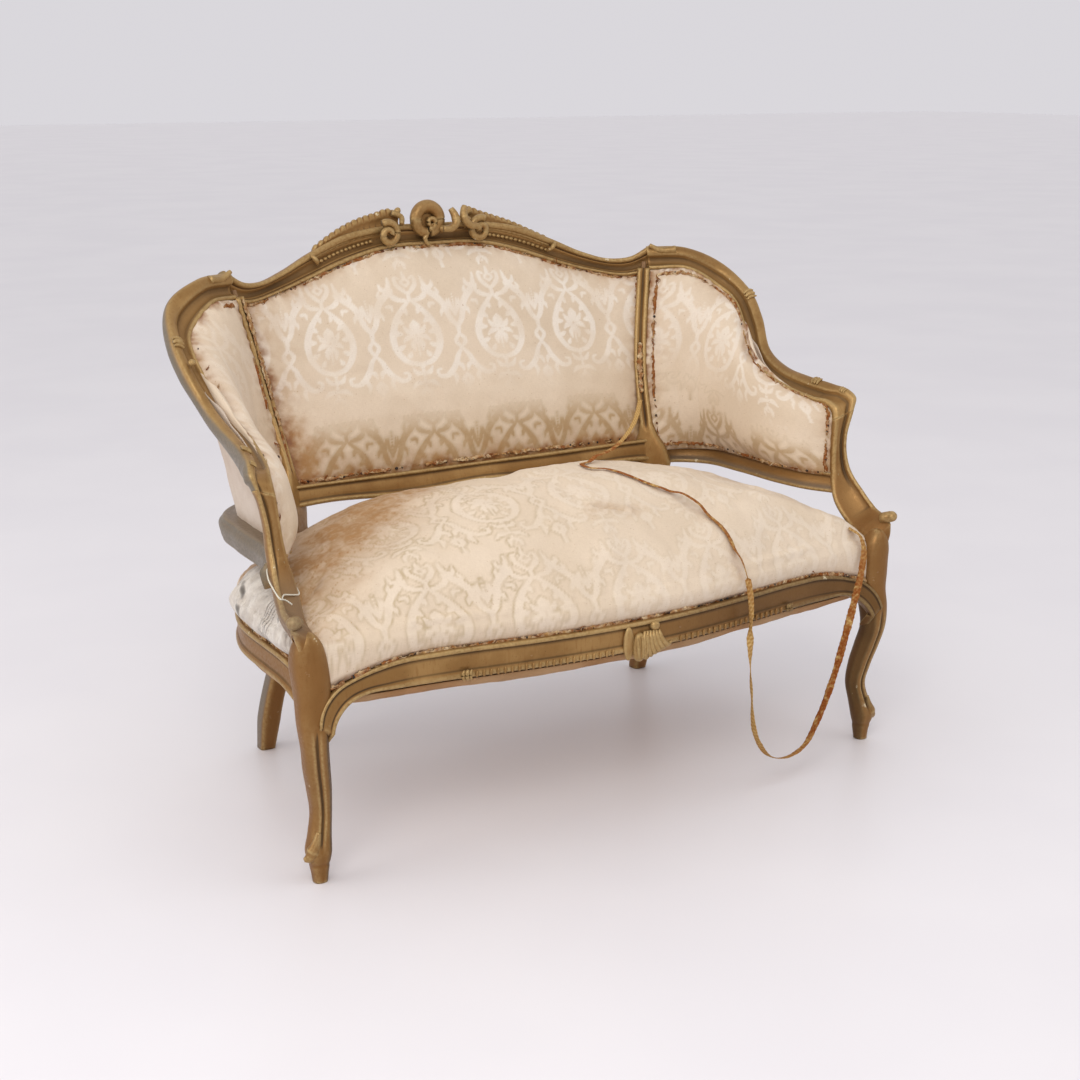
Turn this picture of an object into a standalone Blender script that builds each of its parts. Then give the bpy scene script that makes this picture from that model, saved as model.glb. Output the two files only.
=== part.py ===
"""Two-seat salon sofa: an open carved frame, a sprung seat and a stuffed back and arms.

Metres, +Z up, the front towards -Y, the origin on the floor under the middle.
Right-hand pieces are modelled and mirrored to the left. Members run into their neighbours and are
then cut back to them, so joints keep one clearance whatever the sizes are.
"""
import math

import bmesh
import bpy
import numpy as np

# Clearances
FIT = 0.0003                 # between pieces that touch
LEAST_LEFT = 0.2             # a cut that leaves less than this share of a piece is spoilt, and made again
TUCK = 0.006                 # how far pads and covers run under the frame before they are cut to it

# Seat frame
RAIL_TOP = 0.352
RAIL_HEIGHT = 0.050
RAIL_THICKNESS = 0.034
FRONT_RAIL_BOW = 0.056       # how far the front rail swells forward
FRONT_RAIL_SET_BACK = 0.002  # its ends behind the faces of the legs
FRONT_RAIL_BRACKET = 0.050   # how far its ends drop along the legs
LEG_X = 0.562
LEG_Y = -0.290
LEG_TOP = 0.402
LEG_BLOCK = 0.054            # width of the leg where the rails join it
POST_X = 0.388               # rear post at the seat rails
POST_Y = 0.168
POST_WIDTH = 0.038
REAR_FOOT_X = 0.423
REAR_FOOT_Y = 0.253
SIDE_RAIL_BOW = 0.016        # how far a side rail swells out beyond the middle of the leg

# Back and arms
CREST_DEPTH = 0.036
STILE_WIDTH = 0.026
STILE_DEPTH = 0.030
STILE_FOOT_WIDTH = 0.056     # the fan at the bottom of a stile
WING_DEPTH = 0.036
ARM_POST_DEPTH = 0.036
BACK_RAIL_DEPTH = 0.030
ARM_RAIL_DEPTH = 0.040
BACK_RAIL_Z = 0.480
BACK_RAIL_HEIGHT = 0.036
ARM_RAIL_Z = 0.460
ARM_RAIL_HEIGHT = 0.038

# Edges of the moulded members, right half, as points on their visible face
CREST_LOWER = ((0.0, 0.340, 0.905), (0.10, 0.340, 0.902), (0.19, 0.336, 0.880), (0.27, 0.326, 0.854),
               (0.34, 0.306, 0.836), (0.40, 0.279, 0.827), (0.447, 0.256, 0.836))
CREST_UPPER = ((0.0, 0.352, 0.945), (0.10, 0.352, 0.944), (0.19, 0.348, 0.930), (0.26, 0.337, 0.903),
               (0.32, 0.319, 0.876), (0.37, 0.299, 0.862), (0.41, 0.282, 0.865), (0.450, 0.267, 0.889))
WING_INNER = ((0.436, 0.252, 0.841), (0.495, 0.222, 0.843), (0.546, 0.185, 0.807), (0.560, 0.147, 0.779),
              (0.553, 0.098, 0.730), (0.540, 0.050, 0.685), (0.536, -0.010, 0.660), (0.543, -0.080, 0.641),
              (0.555, -0.168, 0.626))
WING_OUTER = ((0.440, 0.270, 0.886), (0.512, 0.252, 0.884), (0.575, 0.218, 0.848), (0.598, 0.150, 0.802),
              (0.597, 0.100, 0.755), (0.587, 0.050, 0.698), (0.584, -0.010, 0.673), (0.588, -0.080, 0.664),
              (0.599, -0.172, 0.650))
ARM_POST_INNER = ((0.553, -0.142, 0.632), (0.540, -0.133, 0.560), (0.535, -0.147, 0.505),
                  (0.538, -0.192, 0.452), (0.543, -0.245, 0.414), (0.546, -0.296, 0.396))
ARM_POST_OUTER = ((0.600, -0.172, 0.638), (0.581, -0.170, 0.565), (0.577, -0.187, 0.512),
                  (0.583, -0.220, 0.470), (0.588, -0.262, 0.445), (0.590, -0.306, 0.430))
ARM_RAIL_PLAN = ((0.388, 0.172), (0.448, 0.166), (0.488, 0.130), (0.503, 0.040), (0.509, -0.080),
                 (0.520, -0.165), (0.550, -0.205))
ARM_FLARE = 2.4              # how late the arm panels lean out on their way up
STILE_LINE = ((0.385, 0.166, 0.470), (0.404, 0.230, 0.660), (0.436, 0.270, 0.842))

# Cabriole leg: height, shift towards the middle, shift to the back, half width
LEG_FORM = ((0.000, 0.0028, -0.0038, 0.0115), (0.020, 0.0028, -0.0032, 0.0140),
            (0.034, 0.0022, -0.0038, 0.0168), (0.050, 0.0018, -0.0034, 0.0200),
            (0.075, 0.0068, 0.0008, 0.0186), (0.110, 0.0130, 0.0069, 0.0172), (0.150, 0.0096, 0.0020, 0.0194),
            (0.190, 0.0028, -0.0070, 0.0210), (0.230, -0.0024, -0.0155, 0.0215),
            (0.268, -0.0026, -0.0120, 0.0245))

# Soft work
SEAT_CROWN = 0.195           # rise of the cover above the rails
SEAT_ROUND = 0.70            # lower for a flatter top and fuller sides
SEAT_INSET = 0.010           # cover edge behind the rail's face
SEAT_EDGE = 0.040            # height of the bulge at its edge
SEAT_SWELL = 0.007           # how far that bulge stands out
CANVAS_CROWN = 0.105
CANVAS = 0.002
BACK_CROWN = 0.034
ARM_CROWN = 0.045
PAD_RECESS = 0.006           # pad edge below the face of the frame
PAD_THICKNESS = 0.012
CANVAS_SET_BACK = 0.006      # canvas behind the pad
BACK_COVER_SET_BACK = 0.026
ARM_COVER_SET_BACK = 0.014
COVER = 0.0015
BOTTOM_SAG = 0.034
STRAP_WIDTH = 0.050
STRAP = 0.002
SPRING_WIRE = 0.004
SPRING_END = 0.043
SPRING_WAIST = 0.029
SPRING_TURNS = 3
SPRING_TURN_POINTS = 8
SPRING_FLAT = 0.22           # share of the wire that lies flat at each end
SPRING_X = 0.115             # springs stand at one and three times this from the middle
SPRING_Y = (-0.205, 0.035)

# Dowels
DOWEL = 0.009
DOWEL_LENGTH = 0.044

# Loose gimp: a free strip, as points chosen by hand on its way over the seat
GIMP_WIDTH = 0.005
GIMP_POINTS = 52
GIMP_ROUTE = ((0.3794, 0.1959, 0.5898), (0.330, 0.140, 0.566), (0.270, 0.085, 0.550), (0.215, 0.040, 0.5430),
              (0.160, -0.002, 0.5445), (0.112, -0.028, 0.5468), (0.085, -0.047, 0.5484),
              (0.083, -0.073, 0.5488), (0.098, -0.102, 0.5470), (0.115, -0.139, 0.5410),
              (0.138, -0.170, 0.5320), (0.181, -0.213, 0.5137), (0.207, -0.260, 0.4864),
              (0.220, -0.302, 0.4530), (0.2215, -0.330, 0.4270), (0.2225, -0.355, 0.3900),
              (0.224, -0.366, 0.348), (0.222, -0.370, 0.280), (0.226, -0.373, 0.190), (0.243, -0.375, 0.090),
              (0.272, -0.373, 0.054), (0.310, -0.372, 0.042), (0.352, -0.370, 0.053), (0.388, -0.366, 0.098),
              (0.424, -0.360, 0.165), (0.456, -0.352, 0.240), (0.487, -0.338, 0.300), (0.510, -0.327, 0.350),
              (0.523, -0.314, 0.390), (0.5225, -0.303, 0.4065), (0.509, -0.2857, 0.4172))

# A moulding section: across from the inner to the outer edge, and depth behind the face
MOULDING = ((-0.42, -1.0), (0.05, -1.0), (0.40, -0.60), (0.5, -0.24), (0.42, -0.04), (0.30, 0.0),
            (0.17, -0.16), (-0.06, -0.34), (-0.26, -0.20), (-0.38, -0.10), (-0.5, -0.24))
NOSE_STEPS = ((0.86, 0.55), (0.5, 1.0))
PLAIN_RAIL = ((-0.5, -1.0), (0.5, -1.0), (0.5, -0.12), (0.36, 0.0), (-0.2, -0.10), (-0.42, 0.0),
              (-0.5, -0.14))

GILT = (0.36, 0.27, 0.11)
BARE_WOOD = (0.42, 0.27, 0.14)
SILK = (0.74, 0.66, 0.50)
CANVAS_COLOUR = (0.52, 0.38, 0.22)
STEEL = (0.32, 0.31, 0.30)

WHOLE = {}                   # each solid's mesh before it was cut to its neighbours


def clear_scene():
    for old in list(bpy.data.objects):
        bpy.data.objects.remove(old, do_unlink=True)


def material(name, colour, roughness, metallic=0.0):
    made = bpy.data.materials.get(name) or bpy.data.materials.new(name)
    made.use_nodes = True
    shader = made.node_tree.nodes["Principled BSDF"]
    shader.inputs["Base Color"].default_value = (*colour, 1.0)
    shader.inputs["Roughness"].default_value = roughness
    shader.inputs["Metallic"].default_value = metallic
    return made


def add_object(name, data, finish):
    made = bpy.data.objects.new(name, data)
    data.materials.clear()
    data.materials.append(material(*finish))
    bpy.data.collections["Salon sofa"].objects.link(made)
    return made


def smooth(points, count):
    """Points evenly spaced along a smooth curve through the given points."""
    knots = np.asarray(points, float)
    chord = np.concatenate([[0.0], np.cumsum(np.linalg.norm(np.diff(knots, axis=0), axis=1))])
    slope = np.gradient(knots, chord, axis=0)
    fine = np.linspace(0.0, chord[-1], 40 * len(knots))
    i = np.clip(np.searchsorted(chord, fine, "right") - 1, 0, len(knots) - 2)
    span = (chord[i + 1] - chord[i])[:, None]
    u = (fine - chord[i])[:, None] / span
    curve = ((1 + 2 * u) * (1 - u) ** 2 * knots[i] + u * (1 - u) ** 2 * span * slope[i]
             + u * u * (3 - 2 * u) * knots[i + 1] + u * u * (u - 1) * span * slope[i + 1])
    run = np.concatenate([[0.0], np.cumsum(np.linalg.norm(np.diff(curve, axis=0), axis=1))])
    even = np.linspace(0.0, run[-1], count)
    return np.stack([np.interp(even, run, column) for column in curve.T], axis=1)


def mirrored_line(half, count):
    """A smooth line over the middle from points of its right half, from left to right."""
    left = [(-x, y, z) for x, y, z in half[:0:-1]]
    return smooth(left + list(half), count)


def unit(vectors):
    return vectors / np.linalg.norm(vectors, axis=-1, keepdims=True)


def finish_solid(name, mesh, finish):
    """Make flat, outward faces and the object."""
    bmesh.ops.triangulate(mesh, faces=mesh.faces)
    bmesh.ops.recalc_face_normals(mesh, faces=mesh.faces)
    if mesh.calc_volume(signed=True) < 0:
        bmesh.ops.reverse_faces(mesh, faces=mesh.faces)
    data = bpy.data.meshes.new(name)
    mesh.to_mesh(data)
    mesh.free()
    WHOLE[name] = data.copy()
    return add_object(name, data, finish)


def close_solid(name, rings, finish):
    """Skin a row of rings of points, and cap its ends."""
    mesh = bmesh.new()
    rows = [[mesh.verts.new(point) for point in ring] for ring in rings]
    size = len(rows[0])
    for low, high in zip(rows, rows[1:]):
        for k in range(size):
            mesh.faces.new((low[k], low[(k + 1) % size], high[(k + 1) % size], high[k]))
    mesh.faces.new(rows[0][::-1])
    mesh.faces.new(rows[-1])
    return finish_solid(name, mesh, finish)


def member(name, inner, outer, depth, facing, finish, section=MOULDING, nose=0.0):
    """A moulded rail whose face lies between two edges, with its back behind the face.

    A nose rounds the far end off by that length.
    """
    across = outer - inner
    width = np.linalg.norm(across, axis=1, keepdims=True)
    across = across / width
    middle = (inner + outer) / 2
    normal = unit(np.cross(across, np.gradient(middle, axis=0)))
    normal *= np.sign(np.mean(normal @ np.asarray(facing, float)))
    rings = np.stack([middle + a * width * across + b * depth * normal for a, b in section], axis=1)
    if nose:
        heart = rings[-1].mean(axis=0)
        ahead = unit(middle[-1] - middle[-2])
        tips = [heart + (rings[-1] - heart) * size + ahead * nose * reach for size, reach in NOSE_STEPS]
        rings = np.concatenate([rings, tips])
    return close_solid(name, rings, finish)


def slab(name, front, back, finish):
    """A closed sheet or pad between two grids of points."""
    rows, columns = front.shape[:2]
    mesh = bmesh.new()
    faces = []
    for grid in (front, back):
        made = [[mesh.verts.new(point) for point in row] for row in grid]
        faces.append(made)
        for r in range(rows - 1):
            for c in range(columns - 1):
                mesh.faces.new((made[r][c], made[r][c + 1], made[r + 1][c + 1], made[r + 1][c]))
    rim = ([(0, c) for c in range(columns)] + [(r, columns - 1) for r in range(1, rows)]
           + [(rows - 1, c) for c in range(columns - 2, -1, -1)] + [(r, 0) for r in range(rows - 2, 0, -1)])
    for (r0, c0), (r1, c1) in zip(rim, rim[1:] + rim[:1]):
        mesh.faces.new((faces[0][r0][c0], faces[0][r1][c1], faces[1][r1][c1], faces[1][r0][c0]))
    return finish_solid(name, mesh, finish)


def dish(name, outline, top, bottom, finish):
    """A closed solid between an upper and an underside, each a profile swept round an outline.

    A profile point is its share of the way out to the outline, a swell beyond it, and its height.
    """
    mesh = bmesh.new()
    centre = np.array([0.0, SEAT_CENTRE_Y])
    layers = []
    for (_, _, hub_height), *profile in (top, bottom):
        rings = []
        for share, swell, height in profile:
            plan = centre + (outline - centre) * share + unit(outline - centre) * swell
            rings.append([mesh.verts.new((x, y, height)) for x, y in plan])
        hub = mesh.verts.new((*centre, hub_height))
        count = len(outline)
        for k in range(count):
            mesh.faces.new((hub, rings[0][k], rings[0][(k + 1) % count]))
        for low, high in zip(rings, rings[1:]):
            for k in range(count):
                mesh.faces.new((low[k], high[k], high[(k + 1) % count], low[(k + 1) % count]))
        layers.append(rings[-1])
    for k in range(count):
        mesh.faces.new((layers[0][k], layers[0][(k + 1) % count], layers[1][(k + 1) % count], layers[1][k]))
    return finish_solid(name, mesh, finish)


def swollen_copy(source, gap):
    """A copy of a piece as it was before any cut, grown evenly by a clearance, to cut its neighbours."""
    mesh = bmesh.new()
    mesh.from_mesh(WHOLE[source.name])
    mesh.normal_update()
    grown = [vert.co + vert.normal * gap * min(vert.calc_shell_factor(), 2.0) for vert in mesh.verts]
    for vert, place in zip(mesh.verts, grown):
        vert.co = place
    data = bpy.data.meshes.new("cutter")
    mesh.to_mesh(data)
    mesh.free()
    copy = bpy.data.objects.new("cutter", data)
    bpy.data.collections["Cutters"].objects.link(copy)
    copy.display_type = "WIRE"
    copy.hide_render = True
    return copy


def keep_main_body(mesh):
    """Drop shavings that a cut left loose."""
    mesh.verts.index_update()
    seen = set()
    bodies = []
    for start in mesh.verts:
        if start in seen:
            continue
        body = {start}
        front = [start]
        while front:
            for edge in front.pop().link_edges:
                for vert in edge.verts:
                    if vert not in body:
                        body.add(vert)
                        front.append(vert)
        seen |= body
        bodies.append(body)
    bodies.sort(key=len)
    for body in bodies[:-1]:
        bmesh.ops.delete(mesh, geom=list(body), context="VERTS")


def combine(target, cutter, operation, solver="EXACT"):
    boolean = target.modifiers.new(operation.lower(), "BOOLEAN")
    boolean.operation = operation
    boolean.solver = solver
    boolean.object = cutter
    bpy.context.view_layer.update()
    graph = bpy.context.evaluated_depsgraph_get()
    result = bpy.data.meshes.new_from_object(target.evaluated_get(graph))
    target.modifiers.clear()
    target.data = result
    bpy.data.objects.remove(cutter, do_unlink=True)


def volume(data):
    mesh = bmesh.new()
    mesh.from_mesh(data)
    size = mesh.calc_volume()
    mesh.free()
    return size


def cut(target, *neighbours):
    """Cut a piece back to its neighbours, with the clearance of touching pieces."""
    for neighbour in neighbours:
        whole = target.data
        for solver in ("EXACT", "MANIFOLD"):
            target.data = whole
            combine(target, swollen_copy(neighbour, FIT), "DIFFERENCE", solver)
            if volume(target.data) > LEAST_LEFT * volume(whole):
                break
    mesh = bmesh.new()
    mesh.from_mesh(target.data)
    bmesh.ops.remove_doubles(mesh, verts=mesh.verts, dist=0.000002)
    keep_main_body(mesh)
    mesh.to_mesh(target.data)
    mesh.free()


def mirrored_mesh(source):
    data = source.copy()
    mesh = bmesh.new()
    mesh.from_mesh(data)
    for vert in mesh.verts:
        vert.co.x = -vert.co.x
    bmesh.ops.reverse_faces(mesh, faces=mesh.faces)
    mesh.to_mesh(data)
    mesh.free()
    return data


def mirror_to_left(piece):
    name = piece.name.replace("_right", "_left")
    copy = bpy.data.objects.new(name, mirrored_mesh(piece.data))
    WHOLE[name] = mirrored_mesh(WHOLE[piece.name])
    bpy.data.collections["Salon sofa"].objects.link(copy)
    return copy


def rounded_square(half, power, count):
    angles = (np.arange(count) + 0.5) * 2 * math.pi / count
    reach = half * (np.abs(np.cos(angles)) ** power + np.abs(np.sin(angles)) ** power) ** (-1 / power)
    return np.stack([reach * np.cos(angles), reach * np.sin(angles)], axis=1)


# Lines that several pieces share

def front_rail_y(x):
    """The serpentine face of the front rail, in plan."""
    ends = LEG_Y - LEG_BLOCK / 2 + FRONT_RAIL_SET_BACK
    return ends - FRONT_RAIL_BOW * (1 + np.cos(math.pi * x / LEG_X)) / 2


def front_rail_edges(count=25):
    x = np.linspace(-LEG_X, LEG_X, count)
    share = np.abs(x) / LEG_X
    bracket = FRONT_RAIL_BRACKET * np.clip((share - 0.80) / 0.16, 0, 1) ** 3
    low = RAIL_TOP - RAIL_HEIGHT - bracket
    y = front_rail_y(x)
    return np.stack([x, y, low], axis=1), np.stack([x, y, np.full(count, RAIL_TOP)], axis=1)


def side_rail_plan(count=12):
    """The outer face of the right side rail, from the front leg to the rear post."""
    deep = POST_Y - LEG_Y
    points = ((LEG_X + LEG_BLOCK / 4, LEG_Y, 0), (LEG_X + SIDE_RAIL_BOW, LEG_Y + 0.306 * deep, 0),
              (LEG_X + SIDE_RAIL_BOW / 2, LEG_Y + 0.59 * deep, 0),
              (LEG_X - 2 * SIDE_RAIL_BOW, LEG_Y + 0.82 * deep, 0),
              ((LEG_X + POST_X) / 2, POST_Y - 0.010, 0), (POST_X, POST_Y + 0.017, 0))
    return smooth(points, count)


def crest_edges(count=25):
    return mirrored_line(CREST_LOWER, count), mirrored_line(CREST_UPPER, count)


def wing_edges(count=16):
    return smooth(WING_INNER, count), smooth(WING_OUTER, count)


def arm_rail_edges(count=15):
    plan = smooth([(x, y, ARM_RAIL_Z) for x, y in ARM_RAIL_PLAN], count)
    outward = unit(np.cross(np.gradient(plan, axis=0), (0, 0, 1.0)))
    outward *= np.sign(outward[:, :1])
    lean = 0.18 * ARM_RAIL_HEIGHT
    return plan, plan + outward * lean + np.array([0, 0, ARM_RAIL_HEIGHT])


def arm_post_edges(count=11):
    return smooth(ARM_POST_INNER, count), smooth(ARM_POST_OUTER, count)


def arm_post_core():
    """The line inside the arm post that the arm panels run to."""
    inner, outer = arm_post_edges()
    return inner + 0.35 * (outer - inner) + np.array([0.12, 0.30, 0.0]) * ARM_POST_DEPTH


def back_rail_edges(count=9):
    x = np.linspace(-POST_X, POST_X, count)
    y = np.full(count, POST_Y - STILE_DEPTH / 2 + 0.004)
    low = np.stack([x, y, np.full(count, BACK_RAIL_Z)], axis=1)
    return low, low + np.array([0, 0.010, BACK_RAIL_HEIGHT])


def seat_outline(count=32):
    """The edge of the seat's cover on the rails, in plan, all the way round."""
    front = [(x, front_rail_y(x), 0) for x in np.linspace(0, LEG_X * 0.86, 5)]
    corner = [(LEG_X - 0.012, LEG_Y - 0.012, 0)]
    side = list(side_rail_plan(9)[2:-1])
    rear = [(POST_X - 0.03, POST_Y + 0.010, 0), (POST_X / 2, POST_Y + 0.012, 0), (0, POST_Y + 0.012, 0)]
    half = smooth(front + corner + side + rear, count // 2 + 1)
    whole = np.concatenate([half, half[-2:0:-1] * np.array([-1, 1, 1])])[:, :2]
    step = np.roll(whole, -1, axis=0) - np.roll(whole, 1, axis=0)
    inward = unit(np.stack([-step[:, 1], step[:, 0]], axis=1))
    return whole + SEAT_INSET * inward


SEAT_CENTRE_Y = (LEG_Y + POST_Y) / 2
COVER_RINGS = (0.0, 0.25, 0.5, 0.7, 0.84, 0.93, 0.985)
CANVAS_RINGS = (0.0, 0.45, 0.75, 1.0)


def canvas_height(share):
    return RAIL_TOP + 2 * FIT + CANVAS + CANVAS_CROWN * (1 - share ** 2) ** 0.6


def cover_height(share):
    return RAIL_TOP + SEAT_EDGE + (SEAT_CROWN - SEAT_EDGE) * (1 - share ** 2) ** SEAT_ROUND


def canvas_height_at(x, y, outline):
    centre = np.array([0.0, SEAT_CENTRE_Y])
    spokes = outline - centre
    angles = np.arctan2(spokes[:, 1], spokes[:, 0])
    order = np.argsort(angles)
    reach = np.interp(math.atan2(y - SEAT_CENTRE_Y, x), angles[order],
                      np.linalg.norm(spokes, axis=1)[order], period=2 * math.pi)
    share = min(math.hypot(x, y - SEAT_CENTRE_Y) / reach, 1.0)
    return np.interp(share, CANVAS_RINGS, canvas_height(np.array(CANVAS_RINGS)))


def at_heights(line, heights):
    """Points of a rising line at the given heights."""
    order = np.argsort(line[:, 2])
    across = [np.interp(heights, line[order, 2], line[order, k]) for k in (0, 1)]
    return np.stack(across + [heights], axis=1)


def panel_grid(lower, upper, first, last, rows, facing, flare=1.0):
    """Points between two rails and two uprights, and the panel's normals on the facing side."""
    reach = np.linspace(0, 1, rows)[:, None, None]
    rise = unit(upper - lower) * TUCK
    low = lower - rise
    lean = np.concatenate([reach ** flare, reach ** flare, reach], axis=2)
    grid = low + lean * (upper + rise - low)
    share = np.linspace(0, 1, lower.shape[0])[None, :, None]
    start = at_heights(first, grid[:, 0, 2]) - grid[:, 0]
    end = at_heights(last, grid[:, -1, 2]) - grid[:, -1]
    grid = grid + (1 - share) * start[:, None] + share * end[:, None]
    along = np.gradient(grid, axis=1)
    up = np.gradient(grid, axis=0)
    normal = unit(np.cross(along, up))
    return grid, normal * np.sign(np.mean(normal @ np.asarray(facing, float)))


def crown(rows, columns, power=4):
    v = np.abs(np.linspace(-1, 1, rows))[:, None]
    s = np.abs(np.linspace(-1, 1, columns))[None]
    return ((1 - v ** power) * (1 - s ** power))[..., None]


# Pieces

GILT_FINISH = ("gilt wood", GILT, 0.45, 0.35)
WOOD_FINISH = ("bare beech", BARE_WOOD, 0.6)
SILK_FINISH = ("cream damask", SILK, 0.7)
CANVAS_FINISH = ("raw canvas", CANVAS_COLOUR, 0.85)
STEEL_FINISH = ("spring steel", STEEL, 0.4, 1.0)


def make_front_leg():
    block = ((RAIL_TOP - RAIL_HEIGHT + 0.010, 0.0, 0.0, LEG_BLOCK / 2),
             ((RAIL_TOP + LEG_TOP) / 2, 0.0, 0.0, LEG_BLOCK / 2),
             (LEG_TOP, 0.0, 0.0, LEG_BLOCK / 2 - 0.002))
    rings = []
    for z, inward, back, half in smooth(LEG_FORM + block, 18):
        section = rounded_square(half, 2.6, 10)
        rings.append([(LEG_X - inward + x, LEG_Y + back + y, z) for x, y in section])
    return close_solid("front_leg_right", rings, GILT_FINISH)


def make_rear_post():
    leg = [(REAR_FOOT_X, REAR_FOOT_Y, 0.0), (REAR_FOOT_X - 0.002, REAR_FOOT_Y - 0.016, 0.065),
           (POST_X + 0.014, POST_Y + 0.024, RAIL_TOP - RAIL_HEIGHT - 0.080),
           (POST_X, POST_Y, RAIL_TOP - 0.020)]
    line = smooth(leg + list(STILE_LINE), 15)
    heights = (0.0, 0.06, 0.25, RAIL_TOP, STILE_LINE[0][2], STILE_LINE[0][2] + 0.06, STILE_LINE[-1][2])
    wide = (0.030, POST_WIDTH, POST_WIDTH, POST_WIDTH, STILE_FOOT_WIDTH, STILE_WIDTH, STILE_WIDTH)
    deep = (0.030, POST_WIDTH, POST_WIDTH, POST_WIDTH, STILE_DEPTH, STILE_DEPTH, STILE_DEPTH)
    rings = []
    for x, y, z in line:
        section = rounded_square(0.5, 4.0, 10)
        size = np.array([np.interp(z, heights, wide), np.interp(z, heights, deep)])
        rings.append([(x + a, y + b, z) for a, b in section * size])
    return close_solid("rear_post_right", rings, GILT_FINISH)


def make_side_rail():
    plan = side_rail_plan()
    low, high = (plan + np.array([0, 0, z]) for z in (RAIL_TOP - RAIL_HEIGHT, RAIL_TOP))
    return member("side_seat_rail_right", low, high, RAIL_THICKNESS, (1, 0.4, 0), GILT_FINISH, PLAIN_RAIL)


def make_front_rail():
    low, high = front_rail_edges()
    return member("front_seat_rail", low, high, RAIL_THICKNESS, (0, -1, 0), GILT_FINISH, PLAIN_RAIL)


def make_rear_rail():
    x = np.array([-POST_X, 0, POST_X])
    low = np.stack([x, np.full(3, POST_Y + 0.015), np.full(3, RAIL_TOP - RAIL_HEIGHT)], axis=1)
    high = low + np.array([0, 0, RAIL_HEIGHT])
    square = ((-0.5, -1.0), (0.5, -1.0), (0.5, 0.0), (-0.5, 0.0))
    return member("rear_seat_rail", low, high, RAIL_THICKNESS - 0.004, (0, 1, 0), WOOD_FINISH, square)


def make_shell():
    """The scallop on the middle of the front rail."""
    columns, lobes, reach, relief = 23, 7, 0.036, 0.0086
    hub = np.array([0.0, front_rail_y(0.0), RAIL_TOP - RAIL_HEIGHT * 0.72])
    turn = np.linspace(-0.62 * math.pi, 0.62 * math.pi, columns)
    edge = reach * (1 - 0.12 * np.abs(np.sin(lobes * turn / 1.24)))
    front, back = [], []
    for share in (0.06, 0.4, 0.75, 1.0):
        x = hub[0] + share * edge * np.sin(turn)
        z = hub[2] + share * edge * np.cos(turn)
        rise = relief * (1.05 - 0.85 * share ** 2) + 0.0015
        front.append(np.stack([x, np.full(columns, hub[1] - rise), z], axis=1))
        back.append(np.stack([x, np.full(columns, hub[1] + 0.008), z], axis=1))
    return slab("front_rail_shell", np.array(front), np.array(back), GILT_FINISH)


def make_crest():
    lower, upper = crest_edges()
    return member("crest_rail", lower, upper, CREST_DEPTH, (0, -1, 0.2), GILT_FINISH)


def make_crest_leaf():
    """A leaf with a beaded outer edge, laid on the crest's face and rising over its top."""
    columns, beads = 22, 7
    line = smooth(CREST_UPPER, 60)
    start, end = 0.066, 0.252
    x = np.linspace(start, end, columns)
    share = (x - start) / (end - start)
    edge = np.stack([x] + [np.interp(x, line[:, 0], line[:, k]) for k in (1, 2)], axis=1)
    height = 0.023 * (1 - share) ** 1.1 + 0.002 + 0.004 * np.abs(np.sin(beads * math.pi * share))
    up = np.array([0.0, 0.22, 0.97])
    out = np.array([0.0, -0.97, 0.22])
    foot = edge - up * (0.024 * np.sin(math.pi * np.clip(share + 0.12, 0, 1)) + 0.002)[:, None]
    tip = edge + up * height[:, None]
    rows = np.linspace(0, 1, 3)[:, None, None]
    grid = foot + rows * (tip - foot)
    swell = (0.006 + 0.006 * np.sin(math.pi * rows)) * np.ones((1, columns, 1))
    return slab("crest_leaf_right", grid + swell * out, grid - 0.008 * out, GILT_FINISH)


def make_crest_scroll():
    """The C-scroll that stands off the middle of the crest."""
    centre = np.array(CREST_UPPER[0]) + np.array([-0.028, -0.003, 0.008])
    turns = np.radians(np.linspace(-70, 260, 23))
    share = np.linspace(-1, 1, 23)
    reach = 0.019 - 0.009 * np.abs(share) ** 3
    curve = bpy.data.curves.new("crest_scroll", "CURVE")
    curve.dimensions = "3D"
    curve.bevel_depth = 0.0085
    curve.bevel_resolution = 1
    curve.use_fill_caps = True
    spline = curve.splines.new("POLY")
    spline.points.add(len(turns) - 1)
    for point, turn, r, s in zip(spline.points, turns, reach, share):
        x, z = 1.15 * r * math.cos(turn), 1.2 * r * math.sin(turn)
        point.co = (centre[0] + x, centre[1], centre[2] + z, 1)
        point.radius = 1.0 - 0.35 * abs(s)
    return to_mesh_object(add_object("crest_scroll", curve, GILT_FINISH))


def to_mesh_object(piece):
    """Turn a curve object into a plain mesh, so that neighbours can cut it."""
    bpy.context.view_layer.update()
    graph = bpy.context.evaluated_depsgraph_get()
    data = bpy.data.meshes.new_from_object(piece.evaluated_get(graph))
    name = piece.name
    bpy.data.objects.remove(piece, do_unlink=True)
    made = bpy.data.objects.new(name, data)
    bpy.data.collections["Salon sofa"].objects.link(made)
    return made


def make_wing():
    inner, outer = wing_edges()
    return member("wing_rail_right", inner, outer, WING_DEPTH, (-0.3, -0.2, 1), GILT_FINISH, nose=0.012)


def make_arm_post():
    inner, outer = arm_post_edges()
    return member("arm_post_right", inner, outer, ARM_POST_DEPTH, (-0.4, -1, 0.4), GILT_FINISH, nose=0.010)


def make_arm_rail():
    lower, upper = arm_rail_edges()
    facing = (-1, -0.4, 0)
    return member("arm_lower_rail_right", lower, upper, ARM_RAIL_DEPTH, facing, GILT_FINISH, PLAIN_RAIL)


def make_back_rail():
    lower, upper = back_rail_edges()
    return member("back_lower_rail", lower, upper, BACK_RAIL_DEPTH, (0, -1, 0.2), GILT_FINISH, PLAIN_RAIL)


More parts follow.
